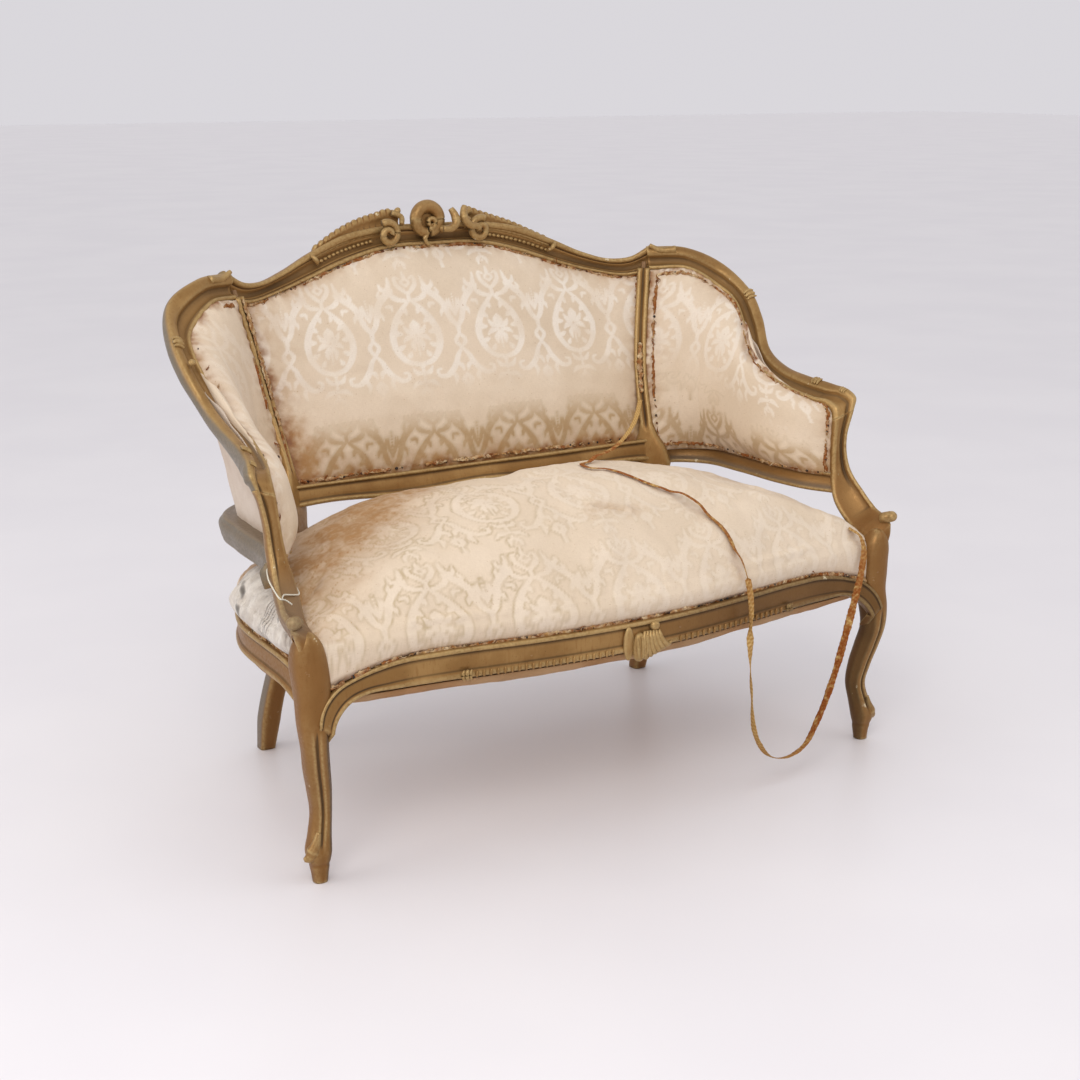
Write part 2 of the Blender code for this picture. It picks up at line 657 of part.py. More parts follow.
def back_panel(rows, columns):
    lower = back_rail_edges(columns)[1]
    middle = crest_edges(81)[0]
    stile = smooth(STILE_LINE, 12)
    x = np.linspace(-STILE_LINE[-1][0], STILE_LINE[-1][0], columns)
    upper = np.stack([x] + [np.interp(x, middle[:, 0], middle[:, k]) for k in (1, 2)], axis=1)
    return panel_grid(lower, upper, stile * np.array([-1, 1, 1]), stile, rows, (0, -1, 0))


def arm_panel(rows, columns):
    lower = arm_rail_edges(columns)[1]
    upper = wing_edges(columns)[0]
    return panel_grid(lower, upper, smooth(STILE_LINE, 12), arm_post_core(), rows, (-1, 0, 0), ARM_FLARE)


def stuffed_pad(name, panel, rise):
    grid, normal = panel
    height = rise * crown(*grid.shape[:2]) - PAD_RECESS
    return slab(name, grid + height * normal, grid - PAD_THICKNESS * normal, SILK_FINISH)


def stretched_sheet(name, panel, depth, thickness, finish):
    grid, normal = panel
    return slab(name, grid - depth * normal, grid - (depth + thickness) * normal, finish)


def make_back_pieces():
    """Back pad, the canvas behind it and the outside cover."""
    sheet = back_panel(5, 11)
    return (stuffed_pad("back_pad", back_panel(8, 17), BACK_CROWN),
            stretched_sheet("back_canvas", sheet, PAD_THICKNESS + CANVAS_SET_BACK, CANVAS, CANVAS_FINISH),
            stretched_sheet("outside_back_cover", sheet, BACK_COVER_SET_BACK, COVER, SILK_FINISH))


def make_arm_pieces():
    sheet = arm_panel(5, 11)
    return (stuffed_pad("arm_pad_right", arm_panel(8, 11), ARM_CROWN),
            stretched_sheet("outside_arm_cover_right", sheet, ARM_COVER_SET_BACK, COVER, SILK_FINISH))


def make_seat():
    outline = seat_outline()
    under = RAIL_TOP - RAIL_HEIGHT - STRAP - 3 * FIT

    def sheet(drop):
        return [(s, 0.0, canvas_height(s) - drop) for s in CANVAS_RINGS]

    def sagging(drop):
        return [(s, 0.0, under - drop - BOTTOM_SAG * (1 - s ** 2)) for s in CANVAS_RINGS]

    cover = [(s, 0.0, cover_height(s)) for s in COVER_RINGS]
    cover += [(1.0, SEAT_SWELL, RAIL_TOP + SEAT_EDGE), (1.0, SEAT_SWELL * 0.7, RAIL_TOP + SEAT_EDGE / 2),
              (1.0, 0.0, RAIL_TOP + FIT + 2 * CANVAS)]
    pad = dish("seat_pad", outline, cover, sheet(-FIT), SILK_FINISH)
    canvas = dish("seat_canvas", outline, sheet(0.0), sheet(CANVAS), CANVAS_FINISH)
    bottom = dish("bottom_cloth", outline, sagging(0.0), sagging(CANVAS), CANVAS_FINISH)
    return pad, canvas, bottom


def make_webbing():
    """Straps under the rails, woven into one lattice and trimmed to the seat's plan."""
    outline = seat_outline()

    def edges(middles):
        return [middle + side * STRAP_WIDTH / 2 for middle in middles for side in (-1, 1)]

    x = sorted([-LEG_X, LEG_X] + edges(SPRING_X * np.arange(-4, 5)))
    y = sorted([LEG_Y - FRONT_RAIL_BOW, POST_Y + 0.02] + edges(np.linspace(*SPRING_Y, 3)))
    mesh = bmesh.new()
    grid = [[mesh.verts.new((a, b, RAIL_TOP - RAIL_HEIGHT - 2 * FIT)) for a in x] for b in y]
    for j in range(len(y) - 1):
        for i in range(len(x) - 1):
            if i % 2 or j % 2:
                mesh.faces.new((grid[j][i], grid[j][i + 1], grid[j + 1][i + 1], grid[j + 1][i]))
    bmesh.ops.delete(mesh, geom=[v for v in mesh.verts if not v.link_faces], context="VERTS")
    data = bpy.data.meshes.new("seat_webbing")
    mesh.to_mesh(data)
    mesh.free()
    webbing = add_object("seat_webbing", data, CANVAS_FINISH)
    thick = webbing.modifiers.new("strap", "SOLIDIFY")
    thick.thickness = STRAP
    thick.offset = -1
    rings = [[(a, b, z) for a, b in outline] for z in (0.0, RAIL_TOP)]
    prism = close_solid("seat_plan", rings, CANVAS_FINISH)
    combine(webbing, prism, "INTERSECT")
    return webbing


def make_spring(index, x, y, outline):
    foot = RAIL_TOP - RAIL_HEIGHT - FIT + SPRING_WIRE / 2
    ring = [canvas_height_at(x + SPRING_END * math.cos(t), y + SPRING_END * math.sin(t), outline)
            for t in np.linspace(0, 2 * math.pi, 12)]
    head = min(ring) - CANVAS - SPRING_WIRE
    count = SPRING_TURNS * SPRING_TURN_POINTS + 1
    share = np.linspace(0, 1, count)
    turn = share * SPRING_TURNS * 2 * math.pi
    reach = SPRING_WAIST + (SPRING_END - SPRING_WIRE / 2 - SPRING_WAIST) * (2 * share - 1) ** 2
    rise = np.clip((share - SPRING_FLAT) / (1 - 2 * SPRING_FLAT), 0, 1) * (head - foot)
    path = np.stack([x + reach * np.cos(turn), y + reach * np.sin(turn), foot + rise], axis=1)
    curve = bpy.data.curves.new("spring", "CURVE")
    curve.dimensions = "3D"
    curve.bevel_depth = SPRING_WIRE / 2
    curve.bevel_resolution = 0
    curve.use_fill_caps = True
    spline = curve.splines.new("POLY")
    spline.points.add(count - 1)
    for point, place in zip(spline.points, path):
        point.co = (*place, 1)
    add_object(f"seat_spring_{index}", curve, STEEL_FINISH)
    apart = np.linalg.norm(path[:, None] - path[None], axis=2)
    far = np.abs(np.arange(count)[:, None] - np.arange(count)[None]) > SPRING_TURN_POINTS / 2
    return apart[far].min() - SPRING_WIRE


def make_block(name, plan):
    low, high = RAIL_TOP - RAIL_HEIGHT + 0.006, RAIL_TOP - 0.006
    return close_solid(name, [[(x, y, z) for x, y in plan] for z in (low, high)], WOOD_FINISH)


def make_dowel(name, place, direction):
    axis = unit(np.asarray(direction, float))
    side = unit(np.cross(axis, (0.3, 0.2, 1.0) if abs(axis[2]) < 0.8 else (1.0, 0.1, 0.0)))
    other = np.cross(axis, side)
    angles = np.arange(8) * math.pi / 4
    ring = [DOWEL / 2 * (math.cos(t) * side + math.sin(t) * other) for t in angles]
    ends = [np.asarray(place) + axis * DOWEL_LENGTH * half for half in (-0.5, 0.5)]
    return close_solid(name, [[end + point for point in ring] for end in ends], WOOD_FINISH)


def make_gimp():
    curve = bpy.data.curves.new("loose_gimp", "CURVE")
    curve.dimensions = "3D"
    curve.bevel_depth = GIMP_WIDTH / 2
    curve.bevel_resolution = 1
    curve.use_fill_caps = True
    spline = curve.splines.new("POLY")
    spline.points.add(GIMP_POINTS - 1)
    for point, place in zip(spline.points, smooth(GIMP_ROUTE, GIMP_POINTS)):
        point.co = (*place, 1)
    return add_object("loose_gimp", curve, ("gimp braid", (0.62, 0.50, 0.33), 0.8))


def build_frame():
    """The wooden frame. Returns its pieces by name, right and left."""
    crest = make_crest()
    leg, post, wing = make_front_leg(), make_rear_post(), make_wing()
    arm_post, arm_rail, side_rail = make_arm_post(), make_arm_rail(), make_side_rail()
    front_rail, rear_rail, back_rail = make_front_rail(), make_rear_rail(), make_back_rail()
    cut(wing, crest)
    cut(post, crest, wing)
    cut(arm_post, wing, leg)
    cut(arm_rail, post, arm_post)
    cut(side_rail, leg, post)
    cut(front_rail, leg, side_rail)
    cut(rear_rail, post, side_rail)
    cut(back_rail, post)
    front_plan = ((LEG_X - 0.130, LEG_Y - 0.020), (LEG_X - 0.010, LEG_Y - 0.020),
                  (LEG_X - 0.010, LEG_Y + 0.105))
    front_block = make_block("corner_block_front_right", front_plan)
    cut(front_block, leg, front_rail, side_rail)
    rear_plan = ((POST_X - 0.080, POST_Y), (POST_X - 0.020, POST_Y - 0.070),
                 (POST_X + 0.070, POST_Y - 0.030), (POST_X, POST_Y))
    rear_block = make_block("corner_block_rear_right", rear_plan)
    cut(rear_block, post, rear_rail, side_rail)
    high = RAIL_TOP - RAIL_HEIGHT / 2 + DOWEL
    low = high - 2 * DOWEL
    top = STILE_LINE[-1]
    plan = side_rail_plan(40)
    rear_end = plan[-1] - plan[-6]
    dowels = (
        ("front_rail", (LEG_X - LEG_BLOCK / 2, LEG_Y - LEG_BLOCK / 2 + RAIL_THICKNESS / 2, high), (1, 0, 0),
         (leg, front_rail)),
        ("side_rail_front", (LEG_X - 0.001, LEG_Y + LEG_BLOCK / 2, low), (0, 1, 0), (leg, side_rail)),
        ("side_rail_rear", (POST_X + POST_WIDTH / 2, POST_Y + 0.001, low), rear_end, (post, side_rail)),
        ("rear_rail", (POST_X - POST_WIDTH / 2, POST_Y, high), (1, 0, 0), (post, rear_rail)),
        ("crest", (top[0] - 0.004, top[1] - 0.003, top[2] - 0.010), (0.17, 0.22, 0.96), (post, crest)),
        ("arm_post", (LEG_X, LEG_Y + 0.004, LEG_TOP), (0, 0, 1), (leg, arm_post)),
    )
    right = [leg, post, wing, arm_post, arm_rail, side_rail, front_block, rear_block]
    for place, point, direction, bored in dowels:
        dowel = make_dowel(f"dowel_{place}_right", point, direction)
        for piece in bored:
            cut(piece, dowel)
        right.append(dowel)
    left = [mirror_to_left(piece) for piece in right]
    named = {piece.name: piece for piece in right + left}
    cut(front_rail, named["front_leg_left"], named["side_seat_rail_left"], named["dowel_front_rail_left"])
    cut(rear_rail, named["rear_post_left"], named["side_seat_rail_left"], named["dowel_rear_rail_left"])
    cut(back_rail, named["rear_post_left"])
    cut(crest, named["dowel_crest_left"])
    for piece in (crest, front_rail, rear_rail, back_rail):
        named[piece.name] = piece
    return named


def add_carving(frame):
    shell, leaf, scroll = make_shell(), make_crest_leaf(), make_crest_scroll()
    cut(shell, frame["front_seat_rail"])
    cut(leaf, frame["crest_rail"])
    leaf_left = mirror_to_left(leaf)
    cut(scroll, frame["crest_rail"], leaf, leaf_left)


def add_soft_work(frame):
    sides = ("_right", "_left")
    posts = [frame["rear_post" + side] for side in sides]
    back_pieces = make_back_pieces()
    for panel in back_pieces:
        cut(panel, frame["crest_rail"], frame["back_lower_rail"], *posts)
    round_arm = [frame[name] for name in ("wing_rail_right", "arm_lower_rail_right", "arm_post_right",
                                          "rear_post_right", "crest_rail", "back_lower_rail")]
    for panel in make_arm_pieces():
        cut(panel, *round_arm, *back_pieces)
        mirror_to_left(panel)
    pad, canvas, bottom = make_seat()
    standing = [frame[name + side] for name in ("front_leg", "rear_post", "arm_post") for side in sides]
    for sheet in (pad, canvas, bottom):
        cut(sheet, *standing)
    cut(pad, *[frame["arm_lower_rail" + side] for side in sides], frame["back_lower_rail"])
    webbing = make_webbing()
    cut(webbing, *standing)
    for sheet in (webbing, bottom):
        cut(sheet, frame["front_seat_rail"])
    outline = seat_outline()
    places = [(step * SPRING_X, y) for y in SPRING_Y for step in (-3, -1, 1, 3)]
    gaps = [make_spring(i + 1, x, y, outline) for i, (x, y) in enumerate(places)]
    print(f"least gap between the turns of a spring: {min(gaps) * 1000:.1f} mm")


def main():
    clear_scene()
    for name in ("Salon sofa", "Cutters"):
        if name not in bpy.data.collections:
            bpy.context.scene.collection.children.link(bpy.data.collections.new(name))
    frame = build_frame()
    add_carving(frame)
    add_soft_work(frame)
    make_gimp()


main()
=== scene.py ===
"""Looks of the two-seat salon sofa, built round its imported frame.

Metres, +Z up, the front towards -Y. Each operator makes one group of pieces, and main() runs them all.
"""

import math

import bpy
import numpy as np
from bpy.props import FloatProperty, FloatVectorProperty, PointerProperty
from mathutils import Matrix, Vector
from mathutils.bvhtree import BVHTree


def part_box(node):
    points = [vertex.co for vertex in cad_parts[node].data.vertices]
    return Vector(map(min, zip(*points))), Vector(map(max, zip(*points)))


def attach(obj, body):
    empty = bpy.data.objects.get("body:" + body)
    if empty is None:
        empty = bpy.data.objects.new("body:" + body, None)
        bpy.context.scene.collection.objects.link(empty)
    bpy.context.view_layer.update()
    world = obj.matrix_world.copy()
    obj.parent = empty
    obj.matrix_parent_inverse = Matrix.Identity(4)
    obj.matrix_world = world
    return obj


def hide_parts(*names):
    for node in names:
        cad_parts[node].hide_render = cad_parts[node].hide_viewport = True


bl_info = {
    "name": "Salon Sofa",
    "version": (1, 0, 0),
    "blender": (4, 5, 0),
    "location": "View3D > Sidebar > Sofa",
    "description": "Builds the looks of a two-seat salon sofa round its packed frame",
    "category": "Add Mesh",
}

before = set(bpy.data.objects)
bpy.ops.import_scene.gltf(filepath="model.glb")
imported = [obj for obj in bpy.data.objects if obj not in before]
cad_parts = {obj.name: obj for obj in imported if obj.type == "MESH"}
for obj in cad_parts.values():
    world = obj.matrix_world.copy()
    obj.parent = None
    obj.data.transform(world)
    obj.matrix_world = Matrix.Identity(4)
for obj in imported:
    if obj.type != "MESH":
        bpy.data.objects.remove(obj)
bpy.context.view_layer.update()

# Sizes and lines of the frame, in metres
RAIL_TOP = 0.352
RAIL_HEIGHT = 0.050
RAIL_THICKNESS = 0.034
FRONT_RAIL_BOW = 0.056
FRONT_RAIL_SET_BACK = 0.002
SIDE_RAIL_BRACKET = 0.030
LEG_X = 0.562
LEG_Y = -0.290
LEG_BLOCK = 0.054
POST_X = 0.388
POST_Y = 0.168
POST_WIDTH = 0.038
REAR_FOOT_X = 0.423
REAR_FOOT_Y = 0.253
SIDE_RAIL_BOW = 0.016
CREST_DEPTH = 0.036
STILE_WIDTH = 0.026
STILE_DEPTH = 0.030
WING_DEPTH = 0.036
ARM_POST_DEPTH = 0.036
BACK_RAIL_DEPTH = 0.030
ARM_RAIL_DEPTH = 0.040
BACK_RAIL_Z = 0.480
BACK_RAIL_HEIGHT = 0.036
ARM_RAIL_Z = 0.460
ARM_RAIL_HEIGHT = 0.038
CREST_LOWER = ((0.0, 0.340, 0.905), (0.10, 0.340, 0.902), (0.19, 0.336, 0.880), (0.27, 0.326, 0.854),
               (0.34, 0.306, 0.836), (0.40, 0.279, 0.827), (0.447, 0.256, 0.836))
CREST_UPPER = ((0.0, 0.352, 0.945), (0.10, 0.352, 0.944), (0.19, 0.348, 0.930), (0.26, 0.337, 0.903),
               (0.32, 0.319, 0.876), (0.37, 0.299, 0.862), (0.41, 0.282, 0.865), (0.450, 0.267, 0.889))
ARM_INNER = (
    (0.436, 0.252, 0.841), (0.498, 0.203, 0.843), (0.548, 0.167, 0.807), (0.561, 0.133, 0.779),
    (0.5525, 0.089, 0.730), (0.535, 0.039, 0.685), (0.528, -0.020, 0.660), (0.533, -0.080, 0.641),
    (0.543, -0.128, 0.631), (0.552, -0.157, 0.626), (0.556, -0.174, 0.615), (0.556, -0.182, 0.596),
    (0.554, -0.185, 0.565), (0.547, -0.192, 0.505), (0.538, -0.214, 0.452), (0.543, -0.252, 0.414),
    (0.546, -0.296, 0.396), (0.548, -0.316, 0.374), (0.551, -0.324, 0.340))
ARM_OUTER = (
    (0.440, 0.270, 0.886), (0.513, 0.234, 0.884), (0.579, 0.198, 0.852), (0.600, 0.132, 0.803),
    (0.597, 0.088, 0.755), (0.583, 0.041, 0.698), (0.579, -0.017, 0.673), (0.581, -0.078, 0.664),
    (0.590, -0.140, 0.657), (0.598, -0.174, 0.650), (0.602, -0.190, 0.636), (0.595, -0.193, 0.612),
    (0.583, -0.192, 0.567), (0.580, -0.205, 0.510), (0.586, -0.238, 0.470), (0.590, -0.268, 0.445),
    (0.590, -0.306, 0.430), (0.590, -0.322, 0.402), (0.586, -0.325, 0.355))
ELBOW = 11
ARM_RAIL_PLAN = ((0.388, 0.172), (0.448, 0.166), (0.488, 0.130), (0.503, 0.040), (0.509, -0.080),
                 (0.521, -0.142), (0.551, -0.203))
ARM_FLARE = 2.4
STILE_LINE = ((0.385, 0.166, 0.470), (0.404, 0.230, 0.660), (0.436, 0.270, 0.842))
# Rings of the leg and of its knee: height, shift inward and back, half width
LEG_FORM = ((0.000, 0.0028, -0.0038, 0.0115), (0.020, 0.0028, -0.0032, 0.0140),
            (0.034, 0.0022, -0.0038, 0.0168), (0.050, 0.0018, -0.0034, 0.0200),
            (0.075, 0.0068, 0.0008, 0.0186), (0.110, 0.0130, 0.0069, 0.0172), (0.150, 0.0096, 0.0020, 0.0194),
            (0.190, 0.0028, -0.0070, 0.0210), (0.230, -0.0024, -0.0155, 0.0215),
            (0.268, -0.0026, -0.0120, 0.0245))
KNEE_FORM = ((0.300, 0.0, -0.006, 0.0262), (0.330, 0.0, -0.004, 0.0282), (0.355, -0.002, -0.002, 0.0285),
             (0.376, -0.004, -0.004, 0.0262), (0.392, -0.005, -0.006, 0.0222),
             (0.404, -0.006, -0.008, 0.0160), (0.411, -0.006, -0.009, 0.0090),
             (0.4135, -0.006, -0.009, 0.0010))
# Edges of the front rail's face: x and height
RAIL_LOW = ((0.0, 0.302), (0.20, 0.302), (0.36, 0.302), (0.4325, 0.3015), (0.478, 0.3010), (0.494, 0.2975),
            (0.512, 0.2895), (0.527, 0.277), (0.537, 0.263), (0.5425, 0.247), (0.546, 0.222))
RAIL_HIGH = ((0.0, 0.352), (0.20, 0.352), (0.36, 0.352), (0.4317, 0.3485), (0.4932, 0.3335), (0.5353, 0.3159),
             (0.5577, 0.2914), (0.5652, 0.2671), (0.5660, 0.236))

# Seat, springs, pads and covers
SEAT_ROUND = 0.70
SEAT_INSET = 0.010
SEAT_EDGE = 0.040
SEAT_SWELL = 0.007
CANVAS_CROWN = 0.105
CANVAS_RINGS = (0.0, 0.45, 0.75, 1.0)
SPRING_X = 0.115
SPRING_Y = (-0.205, 0.035)
SPRING_TURNS = 3
SPRING_WAIST = 0.029
SPRING_FLARE = 0.012
SPRING_RIM = 0.043
SPRING_WIRE = 0.0019
STRAP_WIDTH = 0.048
PAD_RECESS = 0.006
TUCK = 0.006
ARM_PAD_LAP = (0.000, -0.021, 0.0)
BACK_COVER_SET_BACK = 0.026
ARM_COVER_SET_BACK = 0.014
COVER_DIP = -0.0004
LINING_THICKNESS = 0.0015
CANVAS_THICKNESS = 0.002

# The loose gimp, from the right stile over the seat, down in front and up to the right corner
GIMP_ROUTE = ((0.3794, 0.1959, 0.5898), (0.330, 0.140, 0.566), (0.270, 0.085, 0.550), (0.215, 0.040, 0.5430),
              (0.160, -0.002, 0.5445), (0.112, -0.028, 0.5468), (0.085, -0.047, 0.5484),
              (0.083, -0.073, 0.5488), (0.098, -0.102, 0.5470), (0.115, -0.139, 0.5410),
              (0.138, -0.170, 0.5320), (0.181, -0.213, 0.5137), (0.207, -0.260, 0.4864),
              (0.220, -0.302, 0.4530), (0.2215, -0.330, 0.4270), (0.2225, -0.355, 0.3900),
              (0.224, -0.366, 0.348), (0.222, -0.370, 0.280), (0.226, -0.373, 0.190), (0.243, -0.375, 0.090),
              (0.272, -0.373, 0.054), (0.310, -0.372, 0.042), (0.352, -0.370, 0.053), (0.388, -0.366, 0.098),
              (0.424, -0.360, 0.165), (0.456, -0.352, 0.240), (0.487, -0.338, 0.300), (0.510, -0.327, 0.350),
              (0.523, -0.314, 0.390), (0.5225, -0.303, 0.4065), (0.509, -0.2857, 0.4172))

# How the meshes are made: rings along an arm, fine points to a coarse one, and the way to the left side
ARM_RINGS = 400
COARSE = 4
FLIP = np.array([-1.0, 1.0, 1.0])

# Moulding sections: across from the inner to the outer edge, and depth behind the face
LEAF_SECTION = ((-0.5, -1.0), (0.0, -1.0), (0.40, -1.0), (0.49, -0.75), (0.5, -0.45), (0.46, -0.16),
                (0.36, -0.02), (0.22, 0.0), (0.10, -0.12), (-0.06, -0.2), (-0.22, -0.1), (-0.36, -0.04),
                (-0.46, -0.2), (-0.5, -0.6))
CREST_SECTION = ((-0.42, -1.0), (-0.2, -1.0), (0.05, -1.0), (0.25, -0.84), (0.42, -0.60), (0.49, -0.36),
                 (0.50, -0.18), (0.47, -0.05), (0.40, 0.0), (0.31, -0.01), (0.245, -0.08), (0.205, -0.22),
                 (0.185, -0.26), (0.16, -0.23), (0.11, -0.28), (0.02, -0.36), (-0.10, -0.38), (-0.21, -0.32),
                 (-0.27, -0.22), (-0.29, -0.25), (-0.31, -0.16), (-0.35, -0.07), (-0.41, -0.05),
                 (-0.465, -0.10), (-0.5, -0.24), (-0.48, -0.55))
WING_SECTION = ((-0.42, -1.0), (-0.2, -1.0), (0.05, -1.0), (0.25, -0.86), (0.42, -0.62), (0.50, -0.36),
                (0.50, -0.18), (0.44, -0.05), (0.34, 0.0), (0.20, 0.0), (0.10, -0.06), (0.05, -0.18),
                (0.02, -0.28), (-0.08, -0.36), (-0.20, -0.34), (-0.30, -0.24), (-0.34, -0.12),
                (-0.40, -0.05), (-0.46, -0.09), (-0.5, -0.22), (-0.48, -0.55))
POST_SECTION = ((-0.44, -0.72), (-0.1, -0.76), (0.18, -0.68), (0.36, -0.50), (0.47, -0.28), (0.50, -0.14),
                (0.47, -0.04), (0.40, -0.01), (0.32, -0.04), (0.26, -0.13), (0.20, -0.21), (0.12, -0.21),
                (0.05, -0.12), (-0.05, -0.05), (-0.18, -0.01), (-0.32, 0.0), (-0.43, -0.05), (-0.5, -0.2),
                (-0.48, -0.5))
FOOT_SECTION = ((-0.44, -0.72), (-0.1, -0.76), (0.18, -0.68), (0.36, -0.50), (0.47, -0.28), (0.50, -0.14),
                (0.48, -0.04), (0.44, -0.01), (0.39, -0.03), (0.35, -0.12), (0.26, -0.20), (0.10, -0.22),
                (-0.08, -0.20), (-0.24, -0.16), (-0.36, -0.12), (-0.44, -0.11), (-0.48, -0.15), (-0.5, -0.28),
                (-0.48, -0.5))
KNEE_SECTION = ((-0.44, -0.72), (-0.1, -0.76), (0.18, -0.68), (0.36, -0.50), (0.47, -0.34), (0.50, -0.24),
                (0.48, -0.15), (0.42, -0.08), (0.33, -0.04), (0.22, -0.01), (0.10, 0.01), (-0.04, 0.02),
                (-0.16, 0.01), (-0.27, -0.01), (-0.36, -0.04), (-0.43, -0.09), (-0.48, -0.16), (-0.5, -0.28),
                (-0.48, -0.5))
RAIL_SECTION = ((-0.5, -1.0), (0.0, -1.0), (0.5, -1.0), (0.5, -0.5), (0.5, -0.14), (0.47, -0.03), (0.41, 0.0),
                (0.36, -0.03), (0.34, -0.12), (0.31, -0.13), (0.1, -0.11), (-0.12, -0.11), (-0.25, -0.13),
                (-0.28, -0.08), (-0.35, -0.01), (-0.43, -0.01), (-0.48, -0.08), (-0.5, -0.2), (-0.5, -0.6))
LEDGE_SECTION = ((-0.5, -1.0), (-0.1, -1.04), (0.30, -1.0), (0.42, -0.86), (0.5, -0.80), (0.5, -0.4),
                 (0.5, -0.12), (0.45, 0.0), (0.36, -0.02), (0.30, -0.12), (0.1, -0.16), (-0.2, -0.12),
                 (-0.36, -0.02), (-0.46, -0.02), (-0.5, -0.14), (-0.5, -0.6))


# Lines and forms

def runs(line):
    """How far along a line each of its points lies."""
    return np.concatenate([[0.0], np.cumsum(np.linalg.norm(np.diff(line, axis=0), axis=1))])


def at_runs(where, run, line):
    """Points of a line at given lengths along it."""
    return np.stack([np.interp(where, run, column) for column in line.T], axis=1)


def nearest(line, point):
    """Index of the point of a line that lies nearest to a given one."""
    return int(np.argmin(np.linalg.norm(line - np.asarray(point), axis=1)))


def smooth(points, count):
    """Points evenly spaced along a smooth curve through the given points."""
    knots = np.asarray(points, float)
    chord = runs(knots)
    slope = np.gradient(knots, chord, axis=0)
    fine = np.linspace(0.0, chord[-1], 40 * len(knots))
    i = np.clip(np.searchsorted(chord, fine, "right") - 1, 0, len(knots) - 2)
    span = (chord[i + 1] - chord[i])[:, None]
    u = (fine - chord[i])[:, None] / span
    curve = ((1 + 2 * u) * (1 - u) ** 2 * knots[i] + u * (1 - u) ** 2 * span * slope[i]
             + u * u * (3 - 2 * u) * knots[i + 1] + u * u * (u - 1) * span * slope[i + 1])
    run = runs(curve)
    return at_runs(np.linspace(0.0, run[-1], count), run, curve)


def mirrored_line(half, count):
    """A line across the middle, from its right half."""
    left = [(-x, y, z) for x, y, z in half[:0:-1]]
    return smooth(left + list(half), count)


def unit(vectors):
    """Vectors of length one."""
    return vectors / np.maximum(np.linalg.norm(vectors, axis=-1, keepdims=True), 1e-12)


def normals_across(grid):
    """Normals of a grid of points, on one of its sides."""
    return unit(np.cross(np.gradient(grid, axis=1), np.gradient(grid, axis=0)))


def eased(count):
    """Shares from 0 to 1 that lie closer together at both ends."""
    even = np.linspace(0, 1, count)
    return 0.45 * even + 0.55 * (0.5 - 0.5 * np.cos(math.pi * even))


def wobble(points, size, seed, octaves=3):
    """Smooth noise of about -1 to 1 at points, with features of about that size, the same each run."""
    rng = np.random.default_rng(seed)
    total = np.zeros(points.shape[:-1])
    for octave in range(octaves):
        waves = unit(rng.normal(size=(12, 3))) * 2 * math.pi / size * 2 ** octave
        waves *= rng.uniform(0.5, 1.3, (12, 1))
        phase = rng.uniform(0, 2 * math.pi, 12)
        total += np.sin(points @ waves.T + phase).sum(axis=-1) / 3.5 / 1.8 ** octave
    return np.tanh(total)


def front_rail_y(x):
    """How far forward the serpentine front rail lies at x."""
    ends = LEG_Y - LEG_BLOCK / 2 + FRONT_RAIL_SET_BACK
    return ends - FRONT_RAIL_BOW * (1 + np.cos(math.pi * x / LEG_X)) / 2


def front_rail_edges(count):
    """Both edges of the front rail's face, which sweeps down into the legs at its ends."""
    low, high = (mirrored_line([(x, 0.0, z) for x, z in half], count) for half in (RAIL_LOW, RAIL_HIGH))
    sunk = np.clip((0.318 - (low[:, 2] + high[:, 2]) / 2) / 0.06, 0, 1)
    tail = np.clip((0.262 - (low[:, 2] + high[:, 2]) / 2) / 0.03, 0, 1)
    for line in (low, high):
        line[:, 1] = front_rail_y(np.clip(line[:, 0], -LEG_X, LEG_X)) - 0.017 * sunk + 0.026 * tail
    return low, high


def side_rail_plan(count):
    """The right side rail's line, seen from above."""
    deep = POST_Y - LEG_Y
    points = ((LEG_X + LEG_BLOCK / 4, LEG_Y, 0), (LEG_X + SIDE_RAIL_BOW, LEG_Y + 0.306 * deep, 0),
              (LEG_X + SIDE_RAIL_BOW / 2, LEG_Y + 0.59 * deep, 0),
              (LEG_X - 2 * SIDE_RAIL_BOW, LEG_Y + 0.82 * deep, 0),
              ((LEG_X + POST_X) / 2, POST_Y - 0.010, 0), (POST_X, POST_Y + 0.017, 0))
    return smooth(points, count)


def arm_rail_edges(count):
    """Lower and upper edge of the right arm's bottom rail."""
    plan = smooth([(x, y, ARM_RAIL_Z) for x, y in ARM_RAIL_PLAN], count)
    outward = unit(np.cross(np.gradient(plan, axis=0), (0, 0, 1.0)))
    outward *= np.sign(outward[:, :1])
    return plan, plan + outward * 0.18 * ARM_RAIL_HEIGHT + np.array([0, 0, ARM_RAIL_HEIGHT])


def arm_lines(count):
    """Both edges of the face that runs from the ear over the arm and down the arm post, ring by ring."""
    both = smooth(np.hstack([ARM_INNER, ARM_OUTER]), count)
    return both[:, :3], both[:, 3:]


def back_rail_edges(count):
    """Lower and upper edge of the back's bottom rail."""
    x = np.linspace(-POST_X, POST_X, count)
    y = np.full(count, POST_Y - STILE_DEPTH / 2 + 0.004)
    low = np.stack([x, y, np.full(count, BACK_RAIL_Z)], axis=1)
    return low, low + np.array([0, 0.010, BACK_RAIL_HEIGHT])


